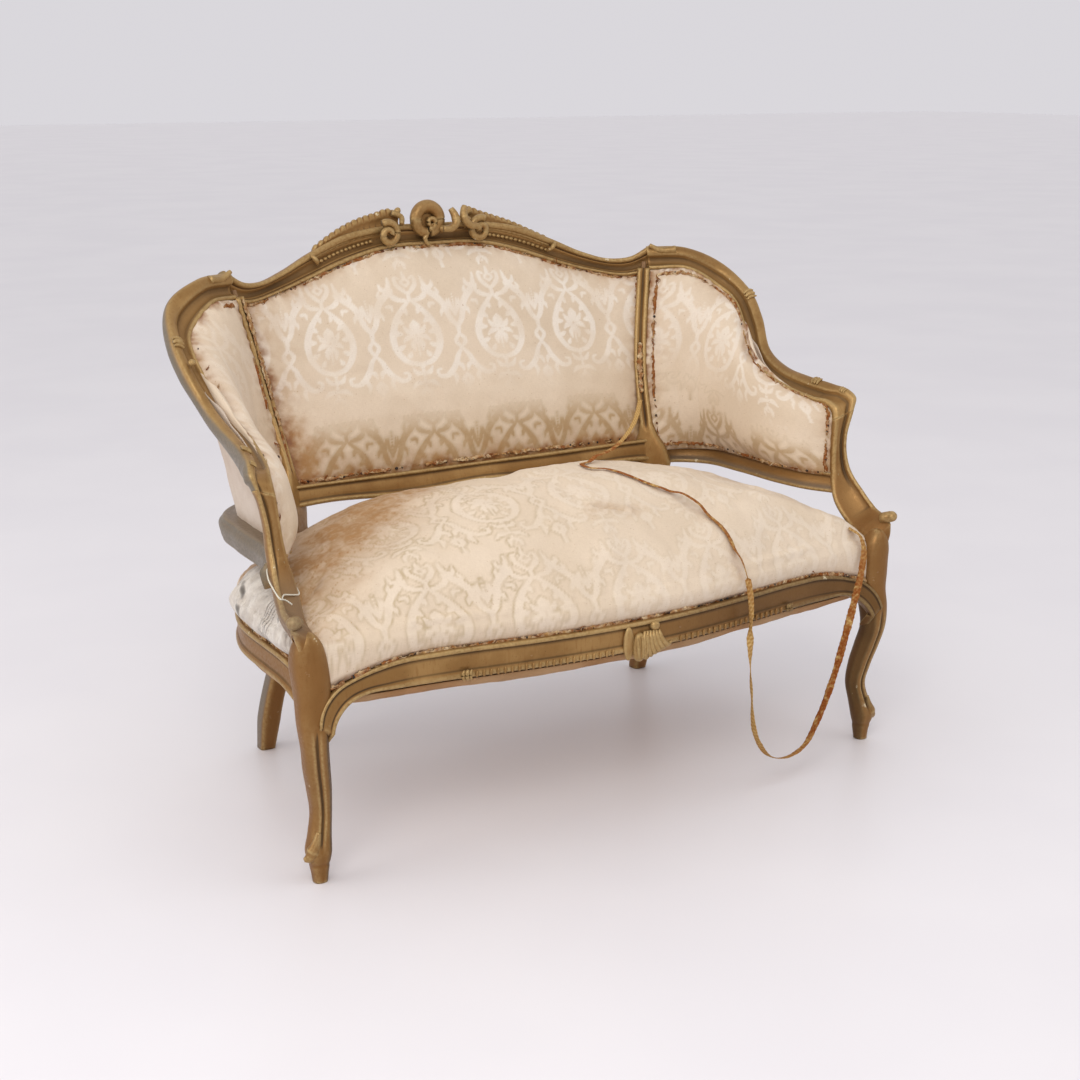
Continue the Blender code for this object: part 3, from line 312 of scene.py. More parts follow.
def seat_outline(count):
    """The seat cover's outline, seen from above."""
    front = [(x, front_rail_y(x), 0) for x in np.linspace(0, LEG_X * 0.86, 5)]
    corner = [(LEG_X - 0.012, LEG_Y - 0.012, 0)]
    side = list(side_rail_plan(9)[2:-1])
    rear = [(POST_X - 0.03, POST_Y + 0.010, 0), (POST_X / 2, POST_Y + 0.012, 0), (0, POST_Y + 0.012, 0)]
    half = smooth(front + corner + side + rear, count // 2 + 1)
    whole = np.concatenate([half, half[-2:0:-1] * FLIP])[:, :2]
    step = np.roll(whole, -1, axis=0) - np.roll(whole, 1, axis=0)
    inward = unit(np.stack([-step[:, 1], step[:, 0]], axis=1))
    return whole + SEAT_INSET * inward


SEAT_CENTRE = np.array([0.0, (LEG_Y + POST_Y) / 2])


def cover_height(share):
    """Height of the seat cover by share of the way out to its edge."""
    rise = bpy.context.scene.sofa_sizes.seat_crown - SEAT_EDGE
    return RAIL_TOP + SEAT_EDGE + rise * np.clip(1 - share ** 2, 0, 1) ** SEAT_ROUND


def at_heights(line, heights):
    """Points of a rising line at given heights."""
    order = np.argsort(line[:, 2])
    across = [np.interp(heights, line[order, 2], line[order, k]) for k in (0, 1)]
    return np.stack(across + [heights], axis=1)


def panel_grid(lower, upper, first, last, rows, facing, flare=1.0, tuck=TUCK):
    """Points between two rails and two uprights, and the panel's normals on the facing side."""
    reach = np.linspace(0, 1, rows)[:, None, None]
    rise = unit(upper - lower)
    low = lower - TUCK * rise
    lean = np.concatenate([reach ** flare, reach ** flare, reach], axis=2)
    grid = low + lean * (upper + tuck * rise - low)
    share = np.linspace(0, 1, lower.shape[0])[None, :, None]
    start = at_heights(first, grid[:, 0, 2]) - grid[:, 0]
    end = at_heights(last, grid[:, -1, 2]) - grid[:, -1]
    grid = grid + (1 - share) * start[:, None] + share * end[:, None]
    normal = normals_across(grid)
    return grid, normal * np.sign(np.mean(normal @ np.asarray(facing, float)))


def back_panel(rows, columns):
    """Points and normals of the back between its rails and stiles."""
    lower = back_rail_edges(columns)[1]
    middle = mirrored_line(CREST_LOWER, 161)
    stile = smooth(STILE_LINE, 24)
    x = np.linspace(-STILE_LINE[-1][0], STILE_LINE[-1][0], columns)
    upper = np.stack([x] + [np.interp(x, middle[:, 0], middle[:, k]) for k in (1, 2)], axis=1)
    return panel_grid(lower, upper, stile * FLIP, stile, rows, (0, -1, 0))


def arm_panel(rows, columns):
    """Points and normals of the right arm between its rails, stile and post."""
    lower = arm_rail_edges(columns)[1]
    inner, _ = arm_lines(ARM_RINGS)
    corner, low = nearest(inner, ARM_INNER[ELBOW - 2]), nearest(inner, ARM_INNER[ELBOW + 3])
    upper = at_runs(np.linspace(0, corner, columns), np.arange(ARM_RINGS), inner)
    stile = smooth(STILE_LINE, 24) + np.array(ARM_PAD_LAP)
    post = inner[corner:low] + np.array([0.003, 0.005, 0])
    return panel_grid(lower, upper, stile, post, rows, (-1, 0, 0), ARM_FLARE, -0.001)


def crown(rows, columns, power=4):
    """How far a pad bulges, from nothing at its edges to one in its middle."""
    v = np.abs(np.linspace(-1, 1, rows))[:, None]
    s = np.abs(np.linspace(-1, 1, columns))[None]
    return (1 - v ** power) * (1 - s ** power)


# Meshes

def grid_faces(rows, columns, wrap=False, first=0):
    """Faces between the points of a grid."""
    index = first + np.arange(rows * columns).reshape(rows, columns)
    if wrap:
        index = np.concatenate([index, index[:, :1]], axis=1)
    quads = np.stack([index[:-1, :-1], index[:-1, 1:], index[1:, 1:], index[1:, :-1]], axis=-1)
    return quads.reshape(-1, 4)


def make_mesh(name, points, faces, closed=True, facing=None):
    """A smooth mesh whose faces look outward, or towards facing where it is an open sheet."""
    data = bpy.data.meshes.new(name)
    data.from_pydata(np.asarray(points).tolist(), [], [list(map(int, face)) for face in faces])
    data.update(calc_edges=True)
    triangles = np.empty(3 * len(data.loop_triangles), int)
    data.loop_triangles.foreach_get("vertices", triangles)
    a, b, c = (np.asarray(points)[triangles.reshape(-1, 3)[:, k]] for k in range(3))
    if closed:
        turned = np.einsum("ij,ij->i", a, np.cross(b, c)).sum() < 0
    else:
        turned = (np.cross(b - a, c - a) @ np.asarray(facing, float)).sum() < 0
    if turned:
        data.flip_normals()
    data.shade_smooth()
    return data


def store(data, name, values):
    """Keep a value at each point of a mesh, for its material."""
    layer = data.attributes.get(name) or data.attributes.new(name, "FLOAT", "POINT")
    layer.data.foreach_set("value", np.asarray(values, np.float32).ravel())


def points_of(data):
    """A mesh's points."""
    place = np.empty(3 * len(data.vertices), np.float32)
    data.vertices.foreach_get("co", place)
    return place.reshape(-1, 3).astype(float)


def normals_of(data):
    """The normals at a mesh's points."""
    normal = np.empty(3 * len(data.vertices), np.float32)
    data.vertices.foreach_get("normal", normal)
    return normal.reshape(-1, 3).astype(float)


def store_hollows(data, size=0.005, rounds=2):
    """Keep how hollow or proud the surface is at each point, from -1 on a ridge to 1 in a groove."""
    place, normal = points_of(data), normals_of(data)
    ends = np.empty(2 * len(data.edges), int)
    data.edges.foreach_get("vertices", ends)
    a, b = ends.reshape(-1, 2).T
    step = place[b] - place[a]
    long = np.maximum(np.einsum("ij,ij->i", step, step), 1e-10)
    total, count = np.zeros(len(place)), np.zeros(len(place))
    for here, way in ((a, 1.0), (b, -1.0)):
        np.add.at(total, here, way * np.einsum("ij,ij->i", normal[here], step) / long)
        np.add.at(count, here, 1.0)
    bend = np.clip(total / np.maximum(count, 1), -1500, 1500)
    for _ in range(rounds):
        spread = np.zeros(len(place))
        np.add.at(spread, a, bend[b])
        np.add.at(spread, b, bend[a])
        bend = 0.5 * bend + 0.5 * spread / np.maximum(count, 1)
    store(data, "hollow", np.tanh(bend * size * 2))


def add_piece(name, data, finish, replaces=()):
    """Put a finished mesh into the scene, riding on the one body."""
    data.materials.clear()
    data.materials.append(finish)
    piece = bpy.data.objects.new(name, data)
    bpy.context.scene.collection.objects.link(piece)
    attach(piece, "root")
    if replaces:
        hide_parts(*replaces)
    return piece


def joined(meshes, name):
    """One mesh of several, with their point values."""
    points, faces, layers = [], [], {}
    first = 0
    for data in meshes:
        points.append(points_of(data))
        faces += [[first + v for v in face.vertices] for face in data.polygons]
        for layer in data.attributes:
            if layer.domain == "POINT" and layer.data_type == "FLOAT":
                values = np.empty(len(data.vertices), np.float32)
                layer.data.foreach_get("value", values)
                layers.setdefault(layer.name, {})[first] = values
        first += len(data.vertices)
    made = bpy.data.meshes.new(name)
    made.from_pydata(np.concatenate(points).tolist(), [], faces)
    made.shade_smooth()
    for key, parts in layers.items():
        whole = np.zeros(first, np.float32)
        for start, values in parts.items():
            whole[start:start + len(values)] = values
        store(made, key, whole)
    return made


def mirrored(data, name):
    """The same mesh on the other side."""
    copy = data.copy()
    copy.name = name
    copy.transform(Matrix.Scale(-1, 4, (1, 0, 0)))
    copy.flip_normals()
    return copy


def loft(name, rings):
    """A closed skin over a row of rings, with flat ends."""
    rows, columns = rings.shape[:2]
    faces = list(grid_faces(rows, columns, wrap=True))
    faces += [np.arange(columns)[::-1], (rows - 1) * columns + np.arange(columns)]
    return make_mesh(name, rings.reshape(-1, 3), faces)


def tube(name, line, radius, sides=10, squash=1.0, up=(0, 0, 1.0)):
    """A round or flattened tube along a line, of a radius that may change on the way."""
    line = np.asarray(line, float)
    ahead = unit(np.gradient(line, axis=0))
    side = unit(np.cross(ahead, np.asarray(up, float)))
    other = np.cross(side, ahead)
    turn = np.arange(sides) * 2 * math.pi / sides
    radius = np.broadcast_to(np.asarray(radius, float), len(line))
    wide = np.cos(turn)[None, :, None] * side[:, None]
    high = squash * np.sin(turn)[None, :, None] * other[:, None]
    return loft(name, line[:, None] + radius[:, None, None] * (wide + high))


def dense(section, count):
    """A smooth closed section with evenly spaced points."""
    closed = list(section) + [section[0]]
    return smooth([(a, b, 0.0) for a, b in closed], count + 1)[:-1, :2]


def member(name, inner, outer, depth, facing, sections, width_points=56, nose=0.0, change=0.0):
    """A moulded rail whose face lies between two edges; a nose rounds its far end off.

    With several sections, change says for each ring which of them it has, or between which two it lies.
    """
    across = outer - inner
    width = np.linalg.norm(across, axis=1, keepdims=True)
    across = across / width
    middle = (inner + outer) / 2
    normal = unit(np.cross(across, np.gradient(middle, axis=0)))
    normal *= np.sign(np.mean(normal @ np.asarray(facing, float)))
    outlines = np.array([dense(section, width_points) for section in sections])
    change = np.broadcast_to(np.asarray(change, float), len(middle))
    first = np.minimum(change.astype(int), max(len(sections) - 2, 0))
    part = (change - first)[:, None, None]
    outline = (1 - part) * outlines[first] + part * outlines[np.minimum(first + 1, len(sections) - 1)]
    deep = np.broadcast_to(np.asarray(depth, float), len(middle))[:, None, None]
    rings = middle[:, None] + outline[..., :1] * (width * across)[:, None]
    rings = rings + outline[..., 1:] * deep * normal[:, None]
    if nose:
        heart = rings[-1].mean(axis=0)
        ahead = unit(middle[-1] - middle[-2])
        bow = np.radians(np.linspace(15, 82, 7))
        tips = [heart + (rings[-1] - heart) * math.cos(t) + ahead * nose * math.sin(t) for t in bow]
        rings = np.concatenate([rings, tips])
    data = loft(name, rings)
    cove = np.clip((-outline[..., 1] - 0.08) / 0.14, 0, 1)
    cove *= (np.abs(outline[..., 0]) < 0.42) & (outline[..., 1] > -0.48)
    extra = np.repeat(cove[-1:], len(rings) - len(cove), axis=0)
    store(data, "cove", np.concatenate([cove, extra]).ravel())
    return data


def ball(name, place, size):
    """An oval ball."""
    data = bead_form(name, 12, 20)
    data.transform(Matrix.Translation(place) @ Matrix.Diagonal((*size, 1.0)))
    return data


# Shader maths

class Wire:
    """A socket of a node tree that takes part in sums."""

    def __init__(self, tree, socket=None):
        self.tree = tree
        self.socket = socket

    def node(self, kind, inputs=(), output=0, **settings):
        """Another node fed by this tree's sockets or plain values."""
        made = self.tree.nodes.new(kind)
        for key, value in settings.items():
            setattr(made, key, value)
        for key, value in dict(inputs).items():
            if isinstance(value, Wire):
                self.tree.links.new(value.socket, made.inputs[key])
            else:
                made.inputs[key].default_value = value
        return Wire(self.tree, made.outputs[output])

    def sum(self, operation, *others, clamp=False):
        """One operation on this value and others."""
        inputs = {0: self, **{k + 1: other for k, other in enumerate(others)}}
        return self.node("ShaderNodeMath", inputs, operation=operation, use_clamp=clamp)

    def __add__(self, other):
        return self.sum("ADD", other)

    def __sub__(self, other):
        return self.sum("SUBTRACT", other)

    def __rsub__(self, other):
        return self.node("ShaderNodeMath", {0: other, 1: self}, operation="SUBTRACT")

    def __mul__(self, other):
        return self.sum("MULTIPLY", other)

    __radd__ = __add__
    __rmul__ = __mul__

    def clamped(self):
        """This value held between 0 and 1."""
        return self.sum("MULTIPLY", 1.0, clamp=True)

    def ramp(self, low, high, to_low=0.0, to_high=1.0):
        """This value carried from one range to another, smoothly and held at its ends."""
        inputs = {"Value": self, "From Min": low, "From Max": high, "To Min": to_low, "To Max": to_high}
        return self.node("ShaderNodeMapRange", inputs, interpolation_type="SMOOTHSTEP")

    def mix(self, first, second):
        """A colour between two, by this share."""
        first, second = (one if isinstance(one, Wire) else (*one, 1.0) for one in (first, second))
        return self.node("ShaderNodeMix", {0: self, 6: first, 7: second}, output=2, data_type="RGBA")

    def noise(self, scale, detail=3.0, roughness=0.55):
        """Noise at this place."""
        inputs = {"Vector": self, "Scale": scale, "Detail": detail, "Roughness": roughness}
        return self.node("ShaderNodeTexNoise", inputs)

    def part(self, axis):
        """One axis of a vector."""
        return self.node("ShaderNodeSeparateXYZ", {0: self}, output=axis)

    def stretched(self, x, y, z):
        """This place with its axes scaled."""
        return self.node("ShaderNodeMapping", {"Vector": self, "Scale": (x, y, z)})

    def bump(self, strength, distance):
        """A normal bent by this height."""
        inputs = {"Height": self, "Strength": strength, "Distance": distance}
        return self.node("ShaderNodeBump", inputs)


class Finish:
    """A new node material with its Principled shader and the usual sources."""

    def __init__(self, name, roughness=0.6, metallic=0.0):
        self.made = bpy.data.materials.new(name)
        self.made.use_nodes = True
        self.tree = self.made.node_tree
        self.shader = self.tree.nodes["Principled BSDF"]
        self.fix("Roughness", roughness)
        self.fix("Metallic", metallic)
        self.place, self.uv = (Wire(self.tree).node("ShaderNodeTexCoord", output=key)
                               for key in ("Object", "UV"))

    def fix(self, key, value):
        """Set one of the shader's own values."""
        self.shader.inputs[key].default_value = value

    def feed(self, key, wire):
        """Let a wire drive one of the shader's values."""
        self.tree.links.new(wire.socket, self.shader.inputs[key])

    def value(self, name):
        """A value that the mesh keeps at each point."""
        return self.place.node("ShaderNodeAttribute", output="Fac", attribute_name=name)


FINISHES = {}


def finish_of(name):
    """A material by name, made when it is first asked for."""
    if name not in FINISHES:
        FINISHES[name] = MAKERS[name]()
    return FINISHES[name]


def make_gilt():
    """Old bronze gilding: brown in the hollows, partly dirt and partly painted shade, rubbed bright on ridges
    with a painted highlight, chipped to gesso in places.
    """
    wear = bpy.context.scene.salon_sofa.wear
    tint = bpy.context.scene.sofa_colours
    made = Finish("old_gilding", 0.42, 0.30)
    made.fix("Specular IOR Level", 0.18)
    hollow, dull, brown = made.value("hollow"), made.value("dull"), made.value("brown")
    broad = made.place.noise(11.0, 4.0)
    fine = made.place.noise(190.0, 5.0, 0.6)
    streak = made.place.stretched(60, 60, 9).noise(4.0, 4.0)
    gold = broad.ramp(0.36, 0.64).mix(tint.gold_deep, tint.gold)
    gold = (streak.ramp(0.52, 0.72) * 0.45).mix(gold, tint.brown_wood)
    gold = (brown * broad.ramp(0.2, 0.7, 0.55, 0.95)).mix(gold, tint.brown_wood)
    # Ridges painted light gold: partly rubbed gilding, partly a painted highlight.
    ridge = (hollow * -1.0).ramp(0.03, 0.5) * fine.ramp(0.3, 0.65, 0.35, 1.0)
    gold = (ridge * 0.75).mix(gold, tint.gold_rubbed_and_highlight)
    # Coves painted a little darker: painted shade.
    gold = (made.value("cove") * broad.ramp(0.2, 0.8, 0.9, 0.6)).mix(gold, tint.cove)
    # Grooves painted umber: partly dirt, partly painted shade.
    groove = hollow.ramp(0.04, 0.45) * broad.ramp(0.2, 0.75, 0.95, 0.65)
    gold = groove.mix(gold, tint.umber_dirt_and_shade)
    gold = (dull * fine.ramp(0.2, 0.8, 0.75, 1.0)).mix(gold, tint.grey_wood)
    specks = made.place.noise(420.0, 2.0).ramp(0.68, 0.74) * 0.5
    # Dark specks of dirt, painted shade on the front legs' inner faces, and umber towards the front rail's
    # right end.
    gold = (specks + made.value("grime") * broad.ramp(0.2, 0.8, 0.95, 0.7)).clamped().mix(gold, tint.umber_dirt_and_shade)
    rubbed = made.place.noise(46.0, 5.0, 0.65).ramp(0.665, 0.70) * (hollow * -1.0).ramp(-0.05, 0.35)
    bare = made.value("chip") * fine.ramp(0.42, 0.58)
    made.feed("Base Color", (rubbed * wear + bare).clamped().mix(gold, tint.gesso))
    rough = fine.ramp(0.2, 0.8, 0.26, 0.52)
    made.feed("Roughness", (rough + groove * 0.25).clamped())
    made.feed("Metallic", 0.46 - 0.44 * (groove + rubbed + dull).clamped())
    made.feed("Normal", (fine + broad * 0.6).bump(0.35, 0.0012))
    return made.made


def woven(made, colour, threads, depth, strength=0.35):
    """A cloth's fine weave over a colour, and its bump."""
    x = made.uv.stretched(threads, threads * 0.12, 1).noise(1.0, 2.0)
    y = made.uv.stretched(threads * 0.12, threads, 1).noise(1.0, 2.0)
    weave = x * 0.5 + y * 0.5
    darker = 0.16 * (1 - weave.ramp(0.3, 0.7))
    made.feed("Base Color", darker.mix(colour, (0.30, 0.19, 0.09)))
    made.feed("Normal", weave.bump(strength, depth))
    return weave


def make_damask():
    """Silk damask: a woven figure painted lighter or darker than its ground as a painted sheen, stains and
    specks.
    """
    made = Finish("cream_damask", 0.5)
    figure, flip = made.value("figure"), made.value("flip")
    stain, rust, line = made.value("stain"), made.value("rust"), made.value("line")
    stained, tint = bpy.context.scene.salon_sofa.stains, bpy.context.scene.sofa_colours
    cloud = made.place.noise(7.0, 3.0)
    fine = made.place.noise(75.0, 4.0, 0.6)
    ground = cloud.ramp(0.35, 0.68).mix(tint.silk_dull, tint.silk)
    # Painted sheen: the figure is painted lighter where flip is above zero and darker where it is below.
    lit = figure * flip.ramp(0.05, 1.0)
    dark = figure * (flip * -1.0).ramp(0.05, 1.0)
    cloth = (lit * 0.95).mix(ground, tint.silk_light)
    cloth = (dark * fine.ramp(0.2, 0.6, 0.75, 1.0)).mix(cloth, tint.silk_dark)
    cloth = (line * 0.85).mix(cloth, tint.silk_line)
    soiled = (stain * fine.ramp(0.25, 0.75, 0.7, 1.25) * stained).clamped()
    cloth = soiled.mix(cloth, tint.stain)
    rusty = (rust * fine.ramp(0.3, 0.7, 0.45, 1.35) * stained).clamped()
    cloth = rusty.mix(cloth, tint.rust)
    specks = made.place.noise(330.0, 1.0).ramp(0.735, 0.76) * 0.55
    cloth = specks.mix(cloth, tint.stain)
    woven(made, cloth, 900.0, 0.0005, 0.25)
    made.feed("Roughness", 0.58 - 0.16 * figure)
    made.fix("Sheen Weight", 0.12)
    made.fix("Sheen Roughness", 0.4)
    return made.made


def make_lining():
    """The plain pale cloth outside the back and arms."""
    made = Finish("outside_cloth", 0.75)
    cloud = made.place.noise(9.0, 4.0)
    fine = made.place.noise(60.0, 4.0)
    cloth = cloud.ramp(0.35, 0.65).mix((0.60, 0.49, 0.40), (0.72, 0.62, 0.53))
    cloth = (fine.ramp(0.6, 0.8) * 0.35).mix(cloth, (0.45, 0.35, 0.25))
    cloth = made.value("stain").mix(cloth, (0.42, 0.30, 0.19))
    woven(made, cloth, 700.0, 0.0006, 0.4)
    return made.made


def make_canvas():
    """Raw brown canvas, paler in patches."""
    made = Finish("raw_canvas", 0.85)
    tint = bpy.context.scene.sofa_colours
    cloud = made.place.noise(16.0, 5.0)
    cloth = cloud.ramp(0.3, 0.7).mix((0.32, 0.155, 0.055), tint.canvas)
    cloth = made.value("stain").mix(cloth, (0.52, 0.36, 0.2))
    woven(made, cloth, 420.0, 0.001, 0.6)
    return made.made


def make_cotton():
    """White stuffing that shows where the cover is gone, with painted shade grey in its hollows and near
    black in its holes.
    """
    made = Finish("cotton_wadding", 0.95)
    fluff = made.place.noise(120.0, 6.0, 0.7)
    lumps = made.place.noise(38.0, 4.0)
    hollow = made.value("hollow")
    cloth = lumps.ramp(0.35, 0.65).mix((0.52, 0.46, 0.40), (0.70, 0.64, 0.57))
    # Painted shade: grey in the hollows, near black in the holes.
    cloth = (hollow.ramp(0.1, 0.7) * 0.35).mix(cloth, (0.36, 0.31, 0.26))
    cloth = made.value("hole").mix(cloth, (0.10, 0.085, 0.07))
    cloth = made.value("stain").mix(cloth, (0.30, 0.17, 0.08))
    made.feed("Base Color", cloth)
    made.feed("Normal", (fluff + lumps).bump(0.35, 0.004))
    made.fix("Sheen Weight", 0.25)
    return made.made


def make_braid():
    """Woven gimp: pale straw threads with rust where the tacks held it."""
    made = Finish("gimp_braid", 0.9)
    made.fix("Specular IOR Level", 0.1)
    along = made.value("along")
    across = made.value("across")
    rust = made.value("rust")
    knots = 0.5 + 0.5 * (900.0 * along).sum("SINE")
    slant = 0.5 + 0.5 * (620.0 * along + 5.0 * across).sum("SINE")
    threads = 0.5 * knots + 0.5 * slant
    fine = made.place.noise(260.0, 4.0, 0.65)
    cloth = threads.ramp(0.15, 0.85).mix((0.42, 0.245, 0.075), (0.60, 0.40, 0.16))
    patch = made.place.noise(58.0, 4.0, 0.6)
    rusty = (rust * patch.ramp(0.30, 0.52) * fine.ramp(0.25, 0.6, 0.6, 1.2)).clamped()
    cloth = rusty.mix(cloth, (0.25, 0.068, 0.014))
    cloth = (rusty * fine.ramp(0.55, 0.75) * 0.8).mix(cloth, (0.14, 0.045, 0.012))
    made.feed("Base Color", cloth)
    made.feed("Normal", (threads + fine * 0.5).bump(0.6, 0.0012))
    return made.made


def make_tack():
    """Black iron, rusty in places."""
    made = Finish("black_tack", 0.55, 0.35)
    fine = made.place.noise(500.0, 3.0)
    patch = made.place.noise(34.0, 2.0)
    iron = (patch.ramp(0.48, 0.62) * fine.ramp(0.3, 0.6)).mix((0.022, 0.017, 0.014), (0.17, 0.052, 0.016))
    made.feed("Base Color", iron)
    made.feed("Roughness", fine.ramp(0.2, 0.8, 0.4, 0.8))
    made.feed("Normal", fine.bump(0.5, 0.0006))
    return made.made


def make_thread():
    """Torn gimp threads, straw to brown, with rust and dark specks."""
    made = Finish("frayed_thread", 0.85)
    made.fix("Specular IOR Level", 0.15)
    tone = made.place.noise(90.0, 3.0)
    fine = made.place.noise(460.0, 3.0)
    cloth = tone.ramp(0.35, 0.65).mix((0.44, 0.25, 0.09), (0.70, 0.55, 0.34))
    cloth = made.value("rust").mix(cloth, (0.25, 0.082, 0.020))
    cloth = (fine.ramp(0.52, 0.66) * 0.75).mix(cloth, (0.085, 0.032, 0.012))
    made.feed("Base Color", cloth)
    made.feed("Roughness", tone.ramp(0.2, 0.8, 0.7, 0.95))
    return made.made


def make_twine():
    """Pale twisted string."""
    made = Finish("tie_string", 0.85)
    turn = 0.5 + 0.5 * (1900.0 * made.value("along")).sum("SINE")
    made.feed("Base Color", turn.mix((0.55, 0.50, 0.40), (0.80, 0.76, 0.66)))
    made.feed("Normal", turn.bump(0.5, 0.0006))
    return made.made


def make_beech():
    """Bare beech with its grain."""
    made = Finish("bare_beech", 0.65)
    tint = bpy.context.scene.sofa_colours
    grain = made.place.stretched(9, 140, 140).noise(1.0, 5.0)
    wood = grain.ramp(0.3, 0.7).mix((0.19, 0.10, 0.042), tint.beech)
    made.feed("Base Color", wood)
    made.feed("Roughness", grain.ramp(0.2, 0.8, 0.55, 0.8))
    made.feed("Normal", grain.bump(0.3, 0.0008))
    return made.made


def make_steel():
    """Spring steel with a little rust."""
    made = Finish("spring_steel", 0.45, 0.9)
    fine = made.place.noise(160.0, 4.0)
    made.feed("Base Color", fine.ramp(0.5, 0.75).mix((0.30, 0.29, 0.28), (0.20, 0.09, 0.04)))
    made.feed("Roughness", fine.ramp(0.2, 0.8, 0.35, 0.7))
    return made.made


def make_floor():
    """A pale floor."""
    made = Finish("pale_floor", 0.38)
    tone = made.place.noise(1.4, 3.0)
    made.feed("Base Color", tone.ramp(0.3, 0.7).mix((0.76, 0.735, 0.765), (0.79, 0.765, 0.79)))
    return made.made


MAKERS = {
    "gilt": make_gilt, "damask": make_damask, "lining": make_lining, "canvas": make_canvas,
    "wadding": make_cotton, "braid": make_braid, "tack": make_tack, "thread": make_thread,
    "string": make_twine, "beech": make_beech, "steel": make_steel, "floor": make_floor,
}


# Copies of small forms

def turned_to(ahead, up):
    """Euler angles that carry x to ahead and z as near to up as it goes."""
    angles = []
    for a, u in zip(unit(np.asarray(ahead, float)), np.asarray(up, float)):
        x = Vector(a)
        z = Vector(u) - x * x.dot(Vector(u))
        z.normalize()
        angles.append(tuple(Matrix((x, z.cross(x), z)).transposed().to_euler()))
    return np.array(angles)


def copies(name, form, places, angles, sizes, finish):
    """A mesh of one small form set at many points by geometry nodes."""
    base = bpy.data.meshes.new(name + "_points")
    base.from_pydata(np.asarray(places).tolist(), [], [])
    for key, values in (("turn", angles), ("size", sizes)):
        layer = base.attributes.new(key, "FLOAT_VECTOR", "POINT")
        layer.data.foreach_set("vector", np.asarray(values, np.float32).ravel())
    tree = bpy.data.node_groups.new(name + "_copies", "GeometryNodeTree")
    for way in ("INPUT", "OUTPUT"):
        tree.interface.new_socket("Geometry", in_out=way, socket_type="NodeSocketGeometry")
    model = bpy.data.objects.new(name + "_form", form)
    holder = bpy.data.objects.new(name + "_holder", base)
    for made in (model, holder):
        bpy.context.scene.collection.objects.link(made)
    points = Wire(tree).node("NodeGroupInput")
    turn, size = (points.node("GeometryNodeInputNamedAttribute", {"Name": key}, "Attribute",
                              data_type="FLOAT_VECTOR") for key in ("turn", "size"))
    turn = points.node("FunctionNodeEulerToRotation", {0: turn})
    shape = points.node("GeometryNodeObjectInfo", {"Object": model}, "Geometry")
    spread = points.node("GeometryNodeInstanceOnPoints",
                         {"Points": points, "Instance": shape, "Rotation": turn, "Scale": size})
    real = points.node("GeometryNodeRealizeInstances", {0: spread})
    painted = points.node("GeometryNodeSetMaterial", {0: real, "Material": finish})
    tree.links.new(painted.socket, tree.nodes.new("NodeGroupOutput").inputs[0])
    holder.modifiers.new("copies", "NODES").node_group = tree
    graph = bpy.context.evaluated_depsgraph_get()
    data = bpy.data.meshes.new_from_object(holder.evaluated_get(graph))
    for made in (holder, model):
        bpy.data.objects.remove(made, do_unlink=True)
    bpy.data.node_groups.remove(tree)
    data.name = name
    return data


def bead_form(name, rows=7, columns=10, flat=1.0):
    """A round bead one unit across."""
    rise = np.linspace(-0.5, 0.5, rows) * math.pi * 0.96
    turn = np.arange(columns) * 2 * math.pi / columns
    ring = np.stack([np.cos(turn), np.sin(turn), np.zeros(columns)], axis=1)
    rings = [0.5 * (math.cos(t) * ring + np.array([0, 0, flat * math.sin(t)])) for t in rise]
    return loft(name, np.array(rings))


# The gilded frame

def gilded(name, meshes, replaces=(), dull=None, brown=None, grime=None, chip=None):
    """Join carved meshes into one gilded piece, with its hollows, dulled faces and browned parts."""
    for data in meshes:
        store_hollows(data)
    whole = joined(meshes, name)
    place, normal = points_of(whole), normals_of(whole)
    for key, found in (("dull", dull), ("brown", brown), ("grime", grime), ("chip", chip)):
        store(whole, key, found(place, normal) if found else np.zeros(len(place)))
    return add_piece(name, whole, finish_of("gilt"), replaces)


def evenly(value):
    """The same share at every point of a piece."""
    return lambda place, normal: np.full(len(place), value)


def crest_edges(count):
    """Lower and upper edge of the crest rail's face."""
    return mirrored_line(CREST_LOWER, count), mirrored_line(CREST_UPPER, count)


def faces_out(place, normal):
    """Share by which a face of the frame looks away from the sitter."""
    outward = np.stack([place[:, 0], np.maximum(place[:, 1] + 0.30, 0.0), np.zeros(len(place))], axis=1)
    return np.clip(np.einsum("ij,ij->i", normal, unit(outward)) * 2.2 - 0.5, 0, 1)


def crest_face(x, share, depth):
    """Points on the crest's face, by x, share up from its lower edge and depth behind its front."""
    lower, upper = (np.stack([x] + [np.interp(x, line[:, 0], line[:, k]) for k in (1, 2)], axis=1)
                    for line in crest_edges(321))
    across = unit(upper - lower)
    out = unit(np.cross(across, (1.0, 0, 0)))
    out *= -np.sign(out[:, 1:2])
    return lower + np.asarray(share)[:, None] * (upper - lower) - np.asarray(depth)[:, None] * out, out


def spiral(centre, reach, start, turns, count, across=(1.0, 0, 0), up=(0, 0, 1.0)):
    """A curl that winds in from its reach to a small eye."""
    share = np.linspace(0, 1, count)
    angle = np.radians(start) + share * turns * 2 * math.pi
    radius = (reach * (1 - 0.82 * share))[:, None]
    return np.asarray(centre) + radius * (np.cos(angle)[:, None] * np.asarray(across, float)
                                          + np.sin(angle)[:, None] * np.asarray(up, float))


